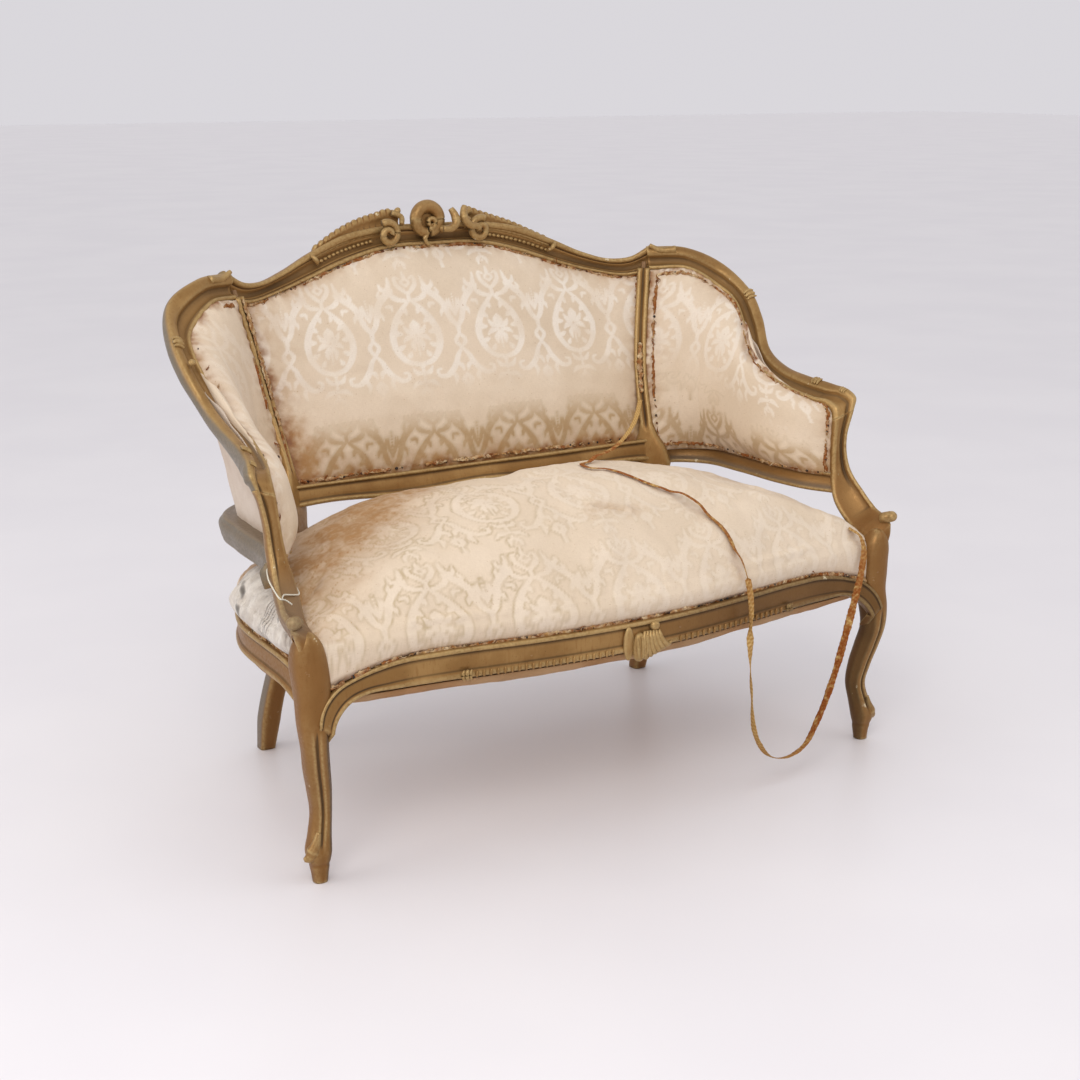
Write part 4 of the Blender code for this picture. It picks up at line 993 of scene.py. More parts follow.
LEAF_TOPS = {-1: ((0.068, 0.968), (0.080, 0.974), (0.118, 0.968), (0.157, 0.958), (0.188, 0.946),
                  (0.220, 0.930), (0.250, 0.913)),
             1: ((0.070, 0.966), (0.080, 0.972), (0.112, 0.964), (0.141, 0.955), (0.177, 0.943),
                 (0.212, 0.928), (0.255, 0.909))}
EYE = {-1: 0.100, 1: 0.096}
FORKS = ((((0.086, 0.326, 0.936), (0.066, 0.324, 0.940), (0.056, 0.326, 0.952), (0.056, 0.330, 0.964),
           (0.060, 0.333, 0.975)), (0.0060, 0.0085, 0.0050)),
         (((0.010, 0.325, 0.934), (0.028, 0.324, 0.936), (0.038, 0.326, 0.946), (0.036, 0.330, 0.960),
           (0.030, 0.333, 0.971)), (0.0060, 0.0088, 0.0055)))
CREST_BROWN = 0.45


def leaf_meshes(side):
    """One crest leaf: a rope-edged band that rises over the rail, its curl and collar."""
    tops = np.array(LEAF_TOPS[side])
    columns = 181
    x = np.linspace(tops[0, 0], tops[-1, 0], columns)
    share = np.linspace(0, 1, columns)
    line = smooth([(a, 0, b) for a, b in tops], 200)
    rope = np.abs(np.sin(15 * math.pi * share))
    high = np.interp(x, line[:, 0], line[:, 2]) - 0.0026 * (1 - rope)
    base, _ = crest_face(x, np.full(columns, 0.66), np.full(columns, 0.004))
    top = np.stack([x, base[:, 1] + 0.010, high], axis=1)
    band = member("leaf_band", base, top, 0.015, (0, -1, 0.1), (LEAF_SECTION,), 44)
    place = points_of(band)
    near = np.clip((place[:, 2] - np.interp(place[:, 0], x, base[:, 2]))
                   / np.interp(place[:, 0], x, high - base[:, 2]), 0, 1)
    twist = np.sin(30 * math.pi * (place[:, 0] - x[0]) / (x[-1] - x[0]) + 3.0 * near)
    place[:, 1] += 0.0011 * twist * np.clip((near - 0.35) / 0.4, 0, 1) * (place[:, 1] < 0.352)
    band.vertices.foreach_set("co", place.astype(np.float32).ravel())
    band.update()
    eye, _ = crest_face(np.array([EYE[side]]), np.array([0.60]), np.array([-0.004]))
    curl = spiral(eye[0], 0.0225, 62, 1.35, 60)
    curl[:, 1] -= np.linspace(0.004, 0.010, 60)
    meshes = [band, tube("leaf_curl", curl, np.linspace(0.0074, 0.0062, 60), 12)]
    drop = smooth([(tops[1, 0] + 0.004, top[2, 1] - 0.008, tops[1, 1] - 0.008),
                   (tops[0, 0] - 0.002, top[0, 1] - 0.010, tops[0, 1] - 0.010),
                   (tops[0, 0] + 0.004, eye[0, 1] - 0.006, eye[0, 2] + 0.018)], 24)
    meshes.append(tube("leaf_drop", drop, np.linspace(0.0058, 0.0048, 24), 10))
    tip = np.array([tops[0, 0] + 0.002, top[0, 1] - 0.004, tops[0, 1] + 0.001])
    meshes.append(tube("leaf_nub", np.array([tip + (0.004, 0, -0.004), tip, tip + (-0.003, 0, 0.003),
                                             tip + (-0.005, 0, 0.004)]), (0.006, 0.0064, 0.0048, 0.0015), 10))
    if side > 0:
        for points, fat in FORKS:
            fat = np.interp(np.arange(40), (0, 25, 39), fat)
            meshes.append(tube("leaf_fork", smooth(points, 40), fat, 12))
    ends, _ = crest_face(np.array([tops[-1, 0] - 0.006, tops[-1, 0] + 0.010]), np.array([0.40, 0.92]),
                         np.array([0.006, -0.001]))
    collar = smooth([ends[0], ends.mean(axis=0) + (0, -0.007, 0), ends[1]], 14)
    meshes.append(tube("leaf_collar", collar, 0.0046 * np.sin(np.linspace(0.35, 2.8, 14)), 10))
    if side < 0:
        meshes = [mirrored(data, data.name) for data in meshes]
    return meshes


def pearl_row(side, count=14):
    """Oblong pearls in the crest's cove beside the curl."""
    x = np.linspace(EYE[side] + 0.030, LEAF_TOPS[side][-1][0] - 0.006, count)
    place, out = crest_face(x, np.full(count, 0.47), np.full(count, 0.009))
    ahead = np.gradient(place, axis=0)
    flip = np.array([side, 1.0, 1.0])
    long = 0.92 * np.linalg.norm(ahead, axis=1)
    sizes = np.stack([long, np.full(count, 0.0066), np.full(count, 0.0066)], axis=1)
    return place * flip, turned_to(ahead * flip, out * flip), sizes


def make_crest():
    """The crest rail, its leaves, the open scroll between them and the pearls."""
    lower, upper = crest_edges(221)
    rail = member("crest", lower, upper, CREST_DEPTH, (0, -1, 0.2), (CREST_SECTION,), 72)
    brown = evenly(CREST_BROWN)
    gilded("crest_rail_carved", [rail], ("crest_rail",), faces_out, brown)
    for side, name in ((1, "right"), (-1, "left")):
        gilded("crest_leaf_carved_" + name, leaf_meshes(side), ("crest_leaf_" + name,), faces_out, brown)
    centre = np.array(CREST_UPPER[0]) + np.array([-0.014, -0.006, 0.005])
    turns = np.radians(np.linspace(-78, 262, 90))
    share = np.linspace(-1, 1, 90)
    reach = 0.0250 - 0.004 * np.abs(share) ** 3
    ring = np.stack([reach * np.cos(turns), -0.004 * share ** 2, 1.04 * reach * np.sin(turns)], axis=1)
    ring = centre + ring
    meshes = [tube("scroll", ring, 0.0125 * (1 - 0.30 * np.abs(share) ** 2.5), 16),
              ball("scroll_back", centre + (0, 0.004, -0.001), (0.036, 0.010, 0.038))]
    curl = spiral(centre + (0.004, -0.008, -0.004), 0.0115, 250, 1.2, 36)
    meshes.append(tube("scroll_curl", curl, np.linspace(0.0060, 0.0042, 36), 10))
    foot = smooth([ring[-1], ring[-1] + (-0.006, -0.004, -0.014), ring[-1] + (0.002, -0.004, -0.024)], 16)
    meshes.append(tube("scroll_foot", foot, np.linspace(0.0062, 0.0030, 16), 10))
    gilded("crest_scroll_carved", meshes, ("crest_scroll",), faces_out, brown)
    rows = [pearl_row(side) for side in (-1, 1)]
    spot = centre + np.array([0.026, -0.012, -0.016])
    places = np.concatenate([row[0] for row in rows] + [spot[None]])
    angles = np.concatenate([row[1] for row in rows] + [np.zeros((1, 3))])
    sizes = np.concatenate([row[2] for row in rows] + [np.full((1, 3), 0.013)])
    pearls = copies("crest_pearls", bead_form("pearl"), places, angles, sizes, finish_of("gilt"))
    # Pearls painted lighter on top than below: a painted highlight.
    store(pearls, "hollow", -0.35 - 0.14 * normals_of(pearls)[:, 2])
    add_piece("crest_pearls", pearls, finish_of("gilt"))


def both_sides(name, meshes, nodes, dull=None, brown=None, grime=None, chip=None):
    """The right piece and its mirror image, each standing for its own nodes."""
    turned = [mirrored(data, data.name + "_l") for data in meshes]
    gilded(name + "_right", meshes, [node + "_right" for node in nodes], dull, brown, grime, chip)
    gilded(name + "_left", turned, [node + "_left" for node in nodes], dull, brown, grime, chip)


def leaf_break(line, out, at, radius, name):
    """A small leaf knot laid over a moulding: lobes of different size close together."""
    ahead = unit(np.gradient(line, axis=0))[at]
    place = line[at] + out * radius * 0.15
    side = np.cross(ahead, out)
    lobes = []
    for k, (shift, size) in enumerate(((-0.8, 0.8), (0.0, 1.1), (0.75, 0.7))):
        points = [place + side * radius * t + ahead * radius * (shift + 0.3 * t * t)
                  for t in (-1.1, -0.4, 0.4, 1.1)]
        lobes.append(tube(f"{name}_{k}", smooth(points, 12), radius * 0.5 * size
                          * np.sin(np.linspace(0.4, 2.75, 12)), 10))
    return lobes


WING_FACING = (-0.3, -0.2, 1)
WING_BREAKS = ((0.128, 0.0095), (-0.105, 0.0080), (-0.166, 0.0055))
EAR_TIP = (0.4435, 0.2635, 0.8865)
WING_BEAD = (-0.5820, 0.0945, 0.7640)
WING_BEAD_SIZE = (0.0120, 0.0120, 0.0120)


def make_wings():
    """The wings, which run into the arms and turn down into the arm posts."""
    inner, outer = arm_lines(ARM_RINGS)
    elbow, turn = nearest(inner, ARM_INNER[ELBOW]), nearest(inner, ARM_INNER[ELBOW - 3])
    change = np.interp(np.arange(elbow + 1), (turn, elbow), (0, 1))
    wing = member("wing", inner[:elbow + 1], outer[:elbow + 1], WING_DEPTH, WING_FACING,
                  (WING_SECTION, POST_SECTION), 72, change=change)
    roll = inner + 0.80 * (outer - inner)
    up = unit(np.cross(outer - inner, np.gradient(inner, axis=0)))
    up *= np.sign(np.mean(up[:turn] @ np.array(WING_FACING)))
    spur = smooth([roll[24] - up[24] * 0.003, roll[10] - up[10] * 0.001, EAR_TIP], 30)
    meshes = [wing, tube("wing_spur", spur, np.linspace(0.0085, 0.0040, 30), 12)]
    for y, size in WING_BREAKS:
        at = int(np.argmin(np.abs(roll[40:elbow, 1] - y))) + 40
        meshes += leaf_break(roll, up[at], at, size, "wing_break")
    both_sides("wing_rail_carved", meshes, ("wing_rail",), faces_out)
    bead = ball("wing_bead", WING_BEAD, WING_BEAD_SIZE)
    piece = gilded("wing_bead_left", [bead])
    # The bead is painted light gold all over: a painted highlight.
    store(piece.data, "hollow", np.full(len(piece.data.vertices), -0.9))


POST_NECK = ((0.580, -0.293, 0.428), (0.587, -0.301, 0.431), (0.5925, -0.308, 0.4335))
POST_KNOB = (0.5935, -0.3085, 0.4335)
POST_KNOB_SIZE = (0.0205, 0.0205, 0.0200)
KNEE_CHIP = np.array([-0.541, -0.290, 0.398])
KNEE_CHIP_SIZE = np.array([0.012, 0.030, 0.016])


def make_arm_posts():
    """Arm posts with a broad cove that ends over the leg, and a knob beside that end."""
    inner, outer = arm_lines(ARM_RINGS)
    elbow = nearest(inner, ARM_INNER[ELBOW])
    inner, outer = inner[elbow:], outer[elbow:]
    change = np.interp(inner[:, 2], (0.404, 0.420, 0.455, 0.500), (2, 1, 1, 0))
    depth = np.interp(inner[:, 2], (0.340, 0.396), (0.018, ARM_POST_DEPTH))
    sunk = np.interp(inner[:, 2], (0.345, 0.388), (0.016, 0.0))[:, None] * np.array([-0.25, 1.0, 0.0])
    post = member("post", inner + sunk, outer + sunk, depth, (-0.4, -1, 0.4),
                  (POST_SECTION, FOOT_SECTION, KNEE_SECTION), 64, nose=0.008, change=change)
    meshes = [post, ball("post_knob", POST_KNOB, POST_KNOB_SIZE), tube("post_neck", POST_NECK, 0.0105, 12)]

    def dull(place, normal):
        low = np.clip((0.49 - place[:, 2]) / 0.05, 0, 1) * np.clip((place[:, 2] - 0.40) / 0.02, 0, 1)
        return 0.45 * low * (place[:, 0] < 0)

    def brown(place, normal):
        return np.interp(place[:, 2], (0.40, 0.50), (0.95, 0.55))

    def chip(place, normal):
        return np.clip(1.4 - np.linalg.norm((place - KNEE_CHIP) / KNEE_CHIP_SIZE, axis=1), 0, 1)

    both_sides("arm_post_carved", meshes, ("arm_post", "dowel_arm_post"), dull, brown, chip=chip)


def make_arm_rails():
    """The bottom rails of the arms and of the back."""
    lower, upper = arm_rail_edges(120)
    rail = member("arm_rail", lower, upper, ARM_RAIL_DEPTH, (-1, -0.4, 0), (LEDGE_SECTION,), 56)
    both_sides("arm_lower_rail_carved", [rail], ("arm_lower_rail",),
               lambda p, n: np.maximum(faces_out(p, n), 0.8 * np.clip(2.0 * n[:, 2] - 0.6, 0, 1)),
               evenly(0.55))
    lower, upper = back_rail_edges(120)
    share = np.linspace(-1, 1, 120)
    lower[:, 2] += 0.004 * np.cos(2.5 * math.pi * share) - 0.003 - 0.004 * np.clip(share, 0, 1)
    rail = member("back_rail", lower, upper, BACK_RAIL_DEPTH, (0, -1, 0.2), (RAIL_SECTION,), 56)
    gilded("back_lower_rail_carved", [rail], ("back_lower_rail",), faces_out)


def make_rear_posts():
    """Plain splayed leg below, and above it a moulded stile that faces the sitter, with a fan at its foot."""
    leg = [(REAR_FOOT_X, REAR_FOOT_Y, 0.0), (REAR_FOOT_X - 0.002, REAR_FOOT_Y - 0.016, 0.065),
           (POST_X + 0.014, POST_Y + 0.024, RAIL_TOP - RAIL_HEIGHT - 0.080),
           (POST_X, POST_Y, RAIL_TOP - 0.020)]
    line = smooth(leg + list(STILE_LINE), 150)
    foot = STILE_LINE[0][2]
    heights = (0.0, 0.06, 0.25, RAIL_TOP, foot - 0.040, foot, foot + 0.030, foot + 0.052, foot + 0.075,
               STILE_LINE[-1][2])
    wide = (0.030, POST_WIDTH, POST_WIDTH, POST_WIDTH, 0.060, 0.084, 0.066, 0.040, STILE_WIDTH, STILE_WIDTH)
    deep = (0.030, POST_WIDTH, POST_WIDTH, POST_WIDTH, 0.030, 0.026, 0.026, 0.027, STILE_DEPTH, STILE_DEPTH)
    turn = np.arange(64) * 2 * math.pi / 64
    corner = np.stack([np.cos(turn), np.sin(turn)], axis=1)
    corner = 0.5 * corner / (np.abs(corner) ** 4.0).sum(axis=1, keepdims=True) ** 0.25
    front = np.clip((-corner[:, 1] - 0.35) / 0.1, 0, 1)
    groove = front * np.exp(-(corner[:, 0] / 0.17) ** 2)
    rings, coves = [], []
    for x, y, z in line:
        size = np.array([np.interp(z, heights, wide), np.interp(z, heights, deep)])
        stile = np.clip((z - foot - 0.062) / 0.02, 0, 1)
        angle = -math.radians(45) * np.clip((z - 0.37) / 0.07, 0, 1)
        flat = corner * size
        flat[:, 1] += 0.0060 * stile * groove
        cos, sin = math.cos(angle), math.sin(angle)
        rings.append([(x + a * cos - b * sin, y + a * sin + b * cos, z) for a, b in flat])
        coves.append(stile * groove)
    post = loft("rear_post", np.array(rings))
    store(post, "cove", np.array(coves).ravel())
    both_sides("rear_post_carved", [post], ("rear_post",), faces_out,
               lambda p, n: np.clip((RAIL_TOP - p[:, 2]) / 0.08, 0, 1))


def make_front_legs():
    """Cabriole legs: two lobes with a groove between them, a toe spur, and a knee that runs into the post."""
    turn = np.arange(96) * 2 * math.pi / 96
    around = np.stack([np.cos(turn), np.sin(turn)], axis=1)
    square = around / (np.abs(around) ** 2.6).sum(axis=1, keepdims=True) ** (1 / 2.6)
    front = np.degrees((turn - math.radians(-80) + math.pi) % (2 * math.pi) - math.pi)
    groove = np.exp(-(front / 10.0) ** 2)
    inner = np.exp(-((front + 62) / 16.0) ** 2)
    rings, coves = [], []
    for z, inward, back, half in smooth(LEG_FORM + KNEE_FORM, 150):
        lobes = np.clip((z - 0.052) / 0.03, 0, 1) * np.clip((0.268 - z) / 0.03, 0, 1)
        neck = np.exp(-((z - 0.031) / 0.004) ** 2)
        depth = 1 - lobes * (0.20 * groove + 0.10 * inner) - 0.06 * neck
        ring = square * half * depth[:, None]
        rings.append([(LEG_X - inward + x, LEG_Y + back + y, z) for x, y in ring])
        coves.append(np.clip(lobes * (groove + inner), 0, 1))
    leg = loft("front_leg", np.array(rings))
    store(leg, "cove", np.array(coves).ravel())
    spur = smooth([(LEG_X, LEG_Y - 0.013, 0.086), (LEG_X + 0.007, LEG_Y - 0.012, 0.062),
                   (LEG_X + 0.017, LEG_Y - 0.010, 0.046), (LEG_X + 0.025, LEG_Y - 0.008, 0.043)], 30)
    meshes = [leg, tube("spur", spur, np.interp(np.linspace(0, 1, 30), (0, 0.6, 0.85, 1),
                                                (0.004, 0.0115, 0.0085, 0.003)), 12, up=(0.3, 1, 0))]

    # Painted shade: the legs' inner faces below the knee are painted umber.
    def grime(place, normal):
        inside = np.clip(-normal[:, 0] * np.sign(place[:, 0]) * 2.0 - 0.3, 0, 1)
        return 0.8 * inside * np.clip((0.315 - place[:, 2]) / 0.03, 0, 1)

    both_sides("front_leg_carved", meshes, ("front_leg",), None, evenly(0.85), grime)


def rail_face(x, share, rise):
    """Points on the front rail's face by x, share up from its lower edge and rise off the face."""
    low, _ = front_rail_edges(401)
    z = np.interp(x, low[:, 0], low[:, 2])
    z = z + np.asarray(share) * (RAIL_TOP - z)
    return np.stack([x, front_rail_y(x) - np.asarray(rise), z], axis=1)


RAIL_BREAKS = ((-0.318, 0.0080), (0.335, 0.0070))
DART_RUNS = ((-0.300, -0.062, 21), (0.075, 0.315, 20))
DART_SIZE = (0.0125, 0.0062, 0.0056)
DART_LEAN = (0.10, 0, 1.0)


def make_seat_rails():
    """The front rail with its darts and leaf knots, and the plainer side rails."""
    low, high = front_rail_edges(301)
    slim = np.clip((np.abs(low[:, 0]) - 0.49) / 0.05, 0, 1)
    rail = member("front_rail", low, high, RAIL_THICKNESS - 0.020 * slim, (0, -1, 0), (RAIL_SECTION,), 64)
    meshes = [rail]
    for x0, radius in RAIL_BREAKS:
        line = rail_face(np.linspace(x0 - 0.02, x0 + 0.02, 41), np.full(41, 0.14), np.full(41, 0.001))
        meshes += leaf_break(line, np.array([0, -1.0, 0]), 20, radius, "rail_break")
    # The rail is painted browner and more umber towards its right end.
    gilded("front_seat_rail_carved", meshes, ("front_seat_rail",), None,
           lambda p, n: np.clip((p[:, 0] + 0.1) / 0.3, 0, 0.8),
           lambda p, n: 0.5 * np.clip(p[:, 0] / 0.2, 0, 1))
    x = np.concatenate([np.linspace(*run) for run in DART_RUNS])
    place = rail_face(x, np.full(len(x), 0.13), np.full(len(x), 0.0004))
    lean, sizes = (np.tile(row, (len(x), 1)) for row in (DART_LEAN, DART_SIZE))
    angles = turned_to(lean, np.tile((0, -1.0, 0), (len(x), 1)))
    darts = copies("front_rail_darts", bead_form("dart"), place, angles, sizes, finish_of("gilt"))
    store(darts, "hollow", np.full(len(darts.vertices), -0.16))
    store(darts, "brown", np.clip((points_of(darts)[:, 0] - 0.02) / 0.2, 0, 1) * 0.9)
    add_piece("front_rail_darts", darts, finish_of("gilt"))
    plan = side_rail_plan(120)
    bracket = SIDE_RAIL_BRACKET * np.clip(1 - np.linspace(0, 5, 120), 0, 1) ** 2
    high = plan + np.array([0, 0, 1]) * (RAIL_TOP - 0.5 * bracket)[:, None]
    low = plan + np.array([0, 0, 1]) * (RAIL_TOP - RAIL_HEIGHT - bracket)[:, None]
    side = member("side_rail", low, high, RAIL_THICKNESS, (1, 0.4, 0), (RAIL_SECTION,), 56)
    both_sides("side_seat_rail_carved", [side], ("side_seat_rail",), None, evenly(0.7))


SHELL_BALLS = (("shell_lobe", (-0.010, 0.3085), (0.030, 0.020, 0.050)),
               ("shell_leaf", (-0.032, 0.318), (0.020, 0.011, 0.058)),
               ("shell_knot", (0.020, 0.341), (0.018, 0.014, 0.017)))
SHELL_RIBS = 6
LOBE_RIBS = 3


def make_shell():
    """A shell in low relief on the rail: a rounded lobe, a flat leaf and ribs that lean to the right."""
    rail = float(front_rail_y(0.0))
    meshes = [ball(name, (x, rail + 0.001, z), size) for name, (x, z), size in SHELL_BALLS]
    for k in range(SHELL_RIBS):
        t = k / (SHELL_RIBS - 1)
        top = np.array([-0.002 + 0.028 * t, rail - 0.002, 0.336 - 0.002 * t])
        low = np.array([0.004 + 0.044 * t, rail - 0.001, 0.289 + 0.016 * t])
        bow = np.array([-0.006, -0.0035, -0.002])
        line = smooth([top, 0.6 * top + 0.4 * low + bow, low, low + np.array([0.006, 0.001, 0.004])], 26)
        fat = np.interp(np.linspace(0, 1, 26), (0, 0.2, 0.7, 1), (0.0020, 0.0044, 0.0056, 0.0018))
        meshes.append(tube(f"rib_{k}", line, fat, 10, up=(0, 1, 0)))
    for k in range(LOBE_RIBS):
        line = smooth([(-0.020 + 0.009 * k, rail - 0.0065, 0.330), (-0.019 + 0.009 * k, rail - 0.0088, 0.310),
                       (-0.015 + 0.007 * k, rail - 0.0060, 0.290)], 16)
        fat = np.interp(np.arange(16), (0, 8, 15), (0.0014, 0.0030, 0.0014))
        meshes.append(tube(f"lobe_rib_{k}", line, fat, 8, up=(0, 1, 0)))
    gilded("front_rail_shell_carved", meshes, ("front_rail_shell",))


# Damask

def strokes_cover(u, v, strokes, soft=0.010):
    """Share from 0 to 1 by which points lie inside tapered strokes."""
    cover = np.zeros(u.shape)
    for points, widths in strokes:
        line = smooth([(a, b, 0) for a, b in points], 10 * len(points))[:, :2] if len(points) > 2 else \
            np.linspace(points[0], points[1], 8)
        share = np.linspace(0, 1, len(line))
        radius = np.interp(share, np.linspace(0, 1, len(widths)), widths)
        for (a, b), r in zip(line, radius):
            box = (np.abs(u - a) < r + soft) & (np.abs(v - b) < r + soft)
            if box.any():
                far = np.hypot(u[box] - a, v[box] - b)
                cover[box] = np.maximum(cover[box], np.clip((r + soft / 2 - far) / soft, 0, 1))
    return cover


REPEAT = 1.616
TILE = 0.178
RISE = 0.156
LEAVES = ((0.075, 0.30, 0.03), (0.155, 0.17, 0.034), (0.2, 0.02, 0.034), (0.185, -0.15, 0.032),
          (0.11, -0.26, 0.03))
FIGURE = (
    (((0, 0.43), (0.09, 0.33), (0.2, 0.17), (0.262, -0.03), (0.225, -0.22), (0.13, -0.34), (0, -0.385)),
     (0.018, 0.036, 0.042, 0.036, 0.028)),
    (((0, 0.02), (0.03, 0.10), (0.0, 0.17)), (0.020, 0.034, 0.010)),
    (((0.02, 0.0), (0.09, 0.05), (0.12, 0.10)), (0.016, 0.034, 0.012)),
    (((0.02, -0.03), (0.10, -0.04), (0.145, -0.08)), (0.016, 0.034, 0.012)),
    (((0.01, -0.05), (0.05, -0.13), (0.045, -0.20)), (0.016, 0.034, 0.012)),
    (((0, -0.08), (0, -0.26)), (0.018, 0.012)),
    (((0, 0.43), (0, 0.52)), (0.026, 0.018)),
    (((0, 0.50), (0.06, 0.56), (0.11, 0.64), (0.10, 0.72), (0.06, 0.70)), (0.020, 0.028, 0.024, 0.012)),
    (((0, 0.60), (0.045, 0.65), (0, 0.70)), (0.014, 0.018, 0.014)),
    (((0, 0.72), (0.0, 0.79)), (0.026, 0.010)),
    (((0.05, 0.42), (0.13, 0.44), (0.19, 0.50), (0.17, 0.57)), (0.022, 0.034, 0.012)),
    (((0.185, 0.72), (0.20, 0.61), (0.25, 0.51), (0.325, 0.43), (0.385, 0.33), (0.41, 0.23), (0.445, 0.13),
      (0.5, 0.06)), (0.012, 0.030, 0.042, 0.040, 0.036, 0.034, 0.028)),
    (((0.225, 0.56), (0.285, 0.585), (0.30, 0.65)), (0.026, 0.028, 0.008)),
    (((0.40, 0.28), (0.345, 0.255), (0.33, 0.20)), (0.022, 0.026, 0.008)),
    (((0.30, 0.44), (0.335, 0.50), (0.32, 0.56)), (0.026, 0.026, 0.008)),
    (((0.37, 0.30), (0.425, 0.34), (0.43, 0.40)), (0.026, 0.026, 0.008)),
    (((0.27, 0.36), (0.22, 0.36), (0.21, 0.31)), (0.018, 0.022, 0.010)),
    (((0.5, 0.20), (0.5, 0.46)), (0.020, 0.010)),
    (((0.5, 0.20), (0.46, 0.30), (0.455, 0.40)), (0.016, 0.026, 0.010)),
    (((0.5, 0.04), (0.5, -0.04)), (0.030, 0.020)),
    (((0.5, -0.04), (0.445, -0.12), (0.5, -0.22)), (0.020, 0.026, 0.020)),
    (((0.5, -0.22), (0.44, -0.3), (0.4, -0.4), (0.33, -0.5), (0.24, -0.555), (0.17, -0.53), (0.17, -0.47),
      (0.21, -0.46)), (0.018, 0.030, 0.036, 0.034, 0.024, 0.014)),
    (((0.40, -0.40), (0.46, -0.44), (0.475, -0.50)), (0.020, 0.028, 0.010)),
    (((0.33, -0.50), (0.37, -0.58), (0.35, -0.66)), (0.020, 0.028, 0.010)),
    (((0, -0.42), (0.0, -0.74)), (0.024, 0.014)),
    (((0.0, -0.50), (0.07, -0.48), (0.11, -0.42)), (0.018, 0.030, 0.010)),
    (((0.0, -0.60), (0.09, -0.61), (0.15, -0.66)), (0.018, 0.032, 0.010)),
    (((0.0, -0.68), (0.05, -0.73), (0.055, -0.79)), (0.018, 0.026, 0.010)),
    (((0.5, -0.55), (0.46, -0.62), (0.5, -0.70)), (0.020, 0.034, 0.020)),
    (((0.5, -0.72), (0.5, -0.80)), (0.016, 0.022)),
)


def damask(u, v):
    """The woven figure at points of the cloth, in units of its width, and the figure's outline."""
    u = np.abs((np.asarray(u) + 0.5) % 1.0 - 0.5)
    v = (np.asarray(v) + REPEAT / 2) % REPEAT - REPEAT / 2
    leaves = tuple((((a, b), (a * 0.80, b * 0.86)), (r, r * 0.5)) for a, b, r in LEAVES)
    strokes = FIGURE + leaves
    figure = strokes_cover(u, v, strokes)
    wider = tuple((points, tuple(w + 0.020 for w in widths)) for points, widths in strokes)
    return figure, np.clip(strokes_cover(u, v, wider, 0.018) - figure, 0, 1)


# Padded and stretched cloth

def store_uv(data, u, v):
    """Lay the cloth's own measures over a mesh, in metres."""
    layer = data.uv_layers.new(name="cloth")
    corners = np.empty(len(data.loops), int)
    data.loops.foreach_get("vertex_index", corners)
    both = np.stack([np.asarray(u).ravel()[corners], np.asarray(v).ravel()[corners]], axis=1)
    layer.data.foreach_set("uv", both.astype(np.float32).ravel())


def arc_grid(grid):
    """Lengths along a grid's rows and columns from their middles, in metres."""
    across = np.linalg.norm(np.diff(grid, axis=1), axis=2)
    along = np.linalg.norm(np.diff(grid, axis=0), axis=2)
    x = np.concatenate([np.zeros((grid.shape[0], 1)), np.cumsum(across, axis=1)], axis=1)
    y = np.concatenate([np.zeros((1, grid.shape[1])), np.cumsum(along, axis=0)], axis=0)
    return x - x[:, grid.shape[1] // 2][:, None], y


def edge_loop(rows, columns):
    """Indices of a grid's border, in order round it."""
    index = np.arange(rows * columns).reshape(rows, columns)
    return np.concatenate([index[0, :-1], index[:-1, -1], index[-1, :0:-1], index[:0:-1, 0]])


def closed_pad(name, front, back):
    """A closed pad of a fine front grid and a coarse back grid."""
    rows, columns = front.shape[:2]
    few_rows, few_columns = back.shape[:2]
    faces = [list(face) for face in grid_faces(rows, columns)]
    faces += [list(face[::-1]) for face in grid_faces(few_rows, few_columns, first=rows * columns)]
    fine, coarse = edge_loop(rows, columns), rows * columns + edge_loop(few_rows, few_columns)
    for k in range(len(coarse)):
        run = [fine[(COARSE * k + j) % len(fine)] for j in range(COARSE + 1)]
        faces.append(run[::-1] + [coarse[k], coarse[(k + 1) % len(coarse)]])
    points = np.concatenate([front.reshape(-1, 3), back.reshape(-1, 3)])
    return make_mesh(name, points, faces)


SETTLE_PRESSURE = {"back": 2.0, "arm": 2.0, "seat": 3.0}
SETTLE_CAP = {"back": 0.006, "arm": 0.005, "seat": 0.007}
SETTLE_SHRINK = 0.02
SETTLE_FRAMES = 20


